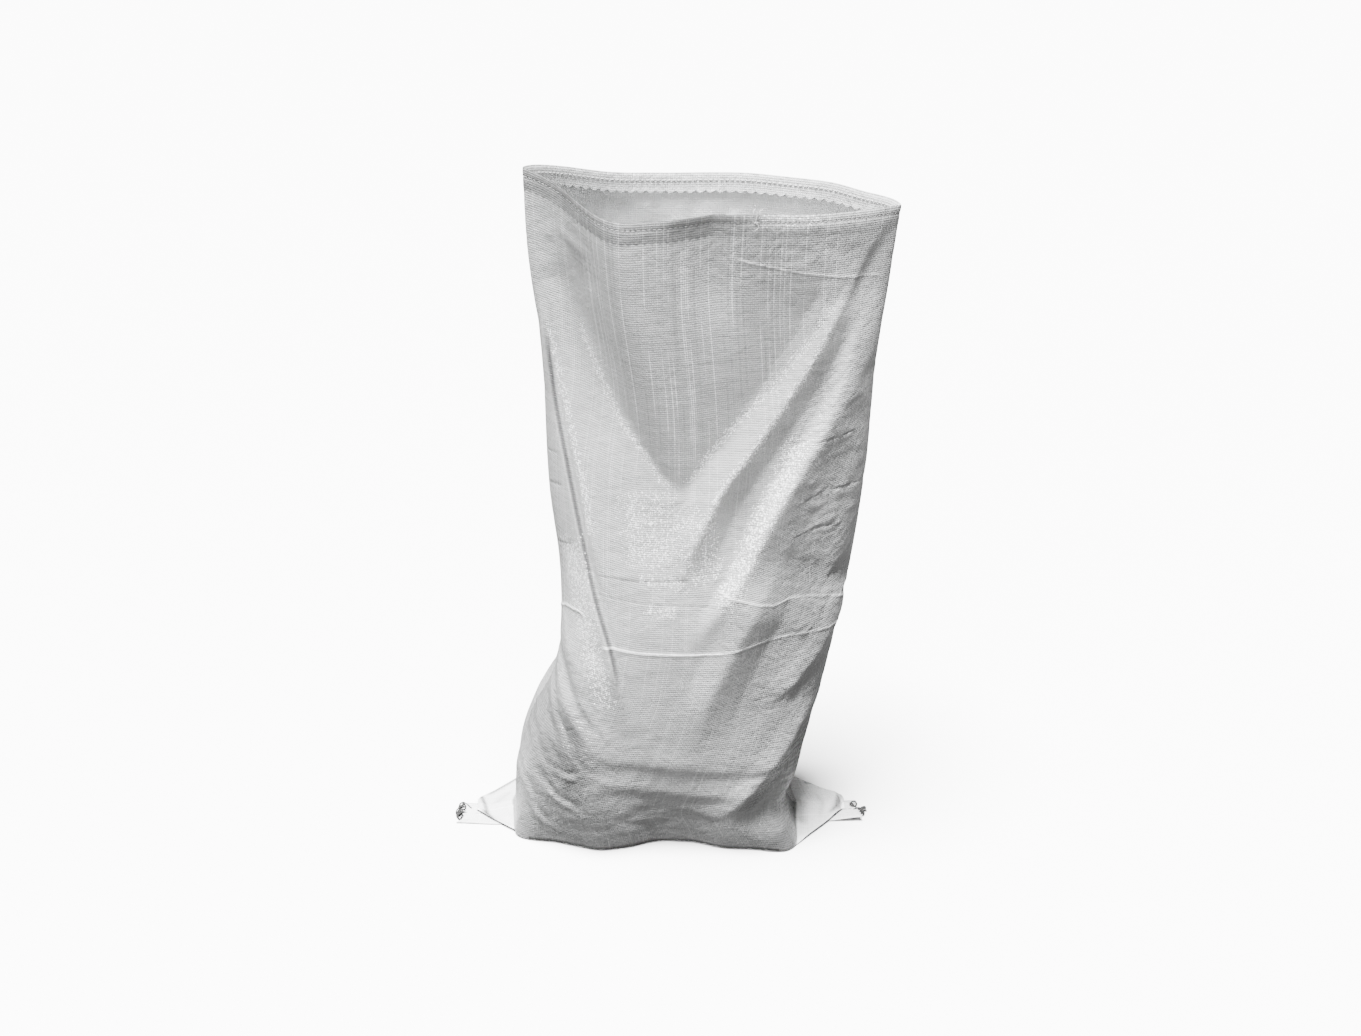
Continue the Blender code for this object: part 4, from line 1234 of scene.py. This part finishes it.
def ground_shares(nodes, place, along):
    """Painted light on the ears, which lie in the light, and painted shade with some dirt, darker towards the
    bottom, on the rest.
    """
    x, y, z = nodes.apart(place)
    outside = nodes.maths("GREATER_THAN", nodes.maths("ABSOLUTE", x), EAR_FROM)
    on_ear = nodes.times(outside, nodes.ranged(along, HALF_DEPTH - 0.002, HALF_DEPTH + 0.002, 1.0, 0.0))
    height = nodes.plus(z, nodes.ranged(nodes.noise(place, 11.0, 3.0), 0.3, 0.7, -0.05, 0.05))
    # painted shade, with some dirt, darker towards the bottom
    low_shade_and_dirt = nodes.ranged(height, 0.02, LOW_SHADE_AND_DIRT_HEIGHT, LOW_SHADE_AND_DIRT_TONE, 1.0)
    return nodes.scaled(on_ear, EAR_PAINTED_LIGHT - 1.0, 1.0), nodes.maths("MAXIMUM", low_shade_and_dirt, on_ear)


def tinted(nodes, bright, tint):
    """A colour from a brightness and the share of it in each channel."""
    return nodes.filled(nodes.new("CombineColor"), *(nodes.times(bright, part) for part in tint))


def woven_material():
    """Flat glossy tapes: streaked, crinkled, with painted glints on ridges, painted shade with some dirt low
    down, and painted darker where double.
    """
    material, nodes, shader = new_material("woven_polypropylene")
    cloth = nodes.new("UVMap")
    cloth.uv_map = "cloth"
    flat = cloth.outputs["UV"]
    across, along, _ = nodes.apart(flat)
    place = nodes.new("TexCoord").outputs["Object"]
    inner = nodes.new("NewGeometry").outputs["Backfacing"]
    weave = nodes.placed(weave_group(), Place=flat, Tape=TAPE)
    chance = nodes.attribute("painted_glint")
    painted_glint = nodes.placed(painted_glint_group(), Place=flat, Cell=PAINTED_GLINT_CELL, Chance=chance)["Mask"]
    bright = nodes.times(
        CLOTH_TONE,
        nodes.ranged(weave["Tone"], 0.2, 0.8, 0.92, 1.07),
        nodes.scaled(weave["Gap"], -0.35, 1.0),
        nodes.ranged(nodes.noise(place, 9.0, 5.0, 0.66), 0.3, 0.7, 0.90, 1.08),
        turned_tape_share(nodes, flat, inner),
        # painted highlight and stress whitening on raised creases, painted shade in sunk ones
        nodes.plus(nodes.attribute("crease_mark"), 1.0),
        # painted shade, with some dirt, darkens the base colour here
        nodes.minus(1.0, nodes.attribute("shade_and_dirt")),
        *hem_shares(nodes, across, along),
        *ground_shares(nodes, place, along),
        nodes.scaled(inner, INNER_WALL_GAIN, 1.0))
    bright = nodes.maths("MINIMUM", bright, BRIGHTEST)
    # painted glints: the masked cells take the brightest tone, in place of highlights
    bright = nodes.maths("MAXIMUM", bright, nodes.times(painted_glint, BRIGHTEST))
    nodes.join(shader.inputs["Base Color"], tinted(nodes, bright, CLOTH_TINT))
    rough = nodes.ranged(weave["Tone"], 0.2, 0.8, 0.34, 0.24)
    nodes.join(shader.inputs["Roughness"], nodes.scaled(painted_glint, -0.10, rough))
    rumple = nodes.placed(crumple_group(), Place=place, Scale=CRUMPLE_SCALE)["Height"]
    strength = nodes.scaled(nodes.attribute("crumpled"), CRUMPLE_GAIN, 1.0)
    coarse = nodes.bump(CRUMPLE_RELIEF, nodes.times(rumple, strength))
    nodes.join(shader.inputs["Normal"], nodes.bump(WEAVE_RELIEF, weave["Height"], Normal=coarse))
    return material


def thread_material(name, tone, twist):
    """Twisted spun yarn: painted shade in the grooves between its plies, loose fibres, and a tone that wanders.
    """
    material, nodes, shader = new_material(name)
    place = nodes.new("TexCoord").outputs["Object"]
    x, y, z = nodes.apart(place)
    plies = nodes.maths("SINE", nodes.times(nodes.plus(nodes.plus(x, y), z), 2 * math.pi / twist))
    # painted shade in the grooves between the plies
    ply_groove_shade = nodes.ranged(plies, -1.0, 0.2, 0.62, 1.0)
    wander = nodes.ranged(nodes.noise(place, 60.0, 3.0), 0.3, 0.7, 0.85, 1.1)
    fibres = nodes.ranged(nodes.noise(place, 2400.0), 0.3, 0.7, 0.9, 1.1)
    bright = nodes.times(ply_groove_shade, wander, fibres)
    nodes.join(shader.inputs["Base Color"], tinted(nodes, bright, (tone, tone, tone)))
    shader.inputs["Roughness"].default_value = 0.62
    nodes.join(shader.inputs["Normal"], nodes.bump(twist * 0.15, plies))
    return material


# Floor, lights and camera.

def seen_or_lit(nodes, output, lit, seen):
    """Joins one shader to what the camera sees, and another to all other light."""
    rays = nodes.new("LightPath").outputs["Is Camera Ray"]
    mix = nodes.filled(nodes.new("MixShader"), rays, lit.outputs[0], seen.outputs[0])
    nodes.join(output.inputs["Surface"], mix)


def floor_material():
    """Pale to the camera, and darker to the light that it throws back on the sack."""
    material, nodes, shader = new_material("pale_floor")
    shader.inputs["Base Color"].default_value = (0.90, 0.90, 0.90, 1.0)
    shader.inputs["Roughness"].default_value = 0.9
    dark = nodes.new("BsdfDiffuse", Color=(0.03, 0.03, 0.03, 1.0))
    seen_or_lit(nodes, nodes.tree.nodes["Material Output"], dark, shader)
    return material


def make_floor():
    bm = bmesh.new()
    bmesh.ops.create_grid(bm, x_segments=1, y_segments=1, size=20.0)
    mesh = mesh_of("floor", bm)
    mesh.materials.append(floor_material())
    linked("floor", mesh)


def make_world():
    """A low even light on the sack, and a pale backdrop beyond the floor."""
    world = bpy.data.worlds.new("studio")
    world.use_nodes = True
    nodes = Nodes(world.node_tree)
    fill = nodes.tree.nodes["Background"]
    fill.inputs["Color"].default_value = (1.0, 1.0, 1.0, 1.0)
    fill.inputs["Strength"].default_value = FILL_LIGHT
    seen = nodes.new("Background", Color=(1.0, 1.0, 1.0, 1.0), Strength=BACKDROP_LIGHT)
    seen_or_lit(nodes, nodes.tree.nodes["World Output"], fill, seen)
    bpy.context.scene.world = world


def aimed(light, place, aim):
    """Puts a light in its place, turned to what it lights."""
    holder = linked(light.name, light)
    holder.location = place
    holder.rotation_euler = (Vector(aim) - Vector(place)).to_track_quat("-Z", "Y").to_euler()


def make_lights():
    sky = bpy.data.lights.new("overhead_light", "SUN")
    sky.energy = KEY_LIGHT
    sky.angle = KEY_SPREAD
    aimed(sky, KEY_FROM, (0.0, 0.0, 0.0))
    soft = bpy.data.lights.new("front_softbox", "AREA")
    soft.size = 0.35
    soft.energy = FRONT_LIGHT
    aimed(soft, FRONT_FROM, (0.0, 0.0, 0.45))


def make_camera():
    data = bpy.data.cameras.new("camera")
    data.sensor_width = 36.0
    data.lens = CAMERA_FOCAL / PHOTO_WIDTH * data.sensor_width
    camera = linked("camera", data)
    camera.location = CAMERA_PLACE
    camera.rotation_euler = (math.pi / 2 - CAMERA_TILT, 0.0, 0.0)
    bpy.context.scene.camera = camera


def dress(piece, node, material):
    """Gives a piece its finish, and has it stand for its CAD node."""
    piece.data.materials.append(material)
    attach(piece, "root")
    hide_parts(node)


def main():
    make_camera()
    make_world()
    make_lights()
    make_floor()
    cloth, grid = make_cloth()
    woven = woven_material()
    dress(cloth, "woven_sack", woven)
    strip = make_folded_seam()
    dress(strip, "woven_sack", woven)
    hem = make_hem_stitches(grid)
    dress(hem, "hem_thread", thread_material("hem_thread", 0.60, 0.0009))
    seam = make_seam_stitches()
    dress(seam, "seam_thread", thread_material("seam_thread", 0.022, 0.0008))


main()
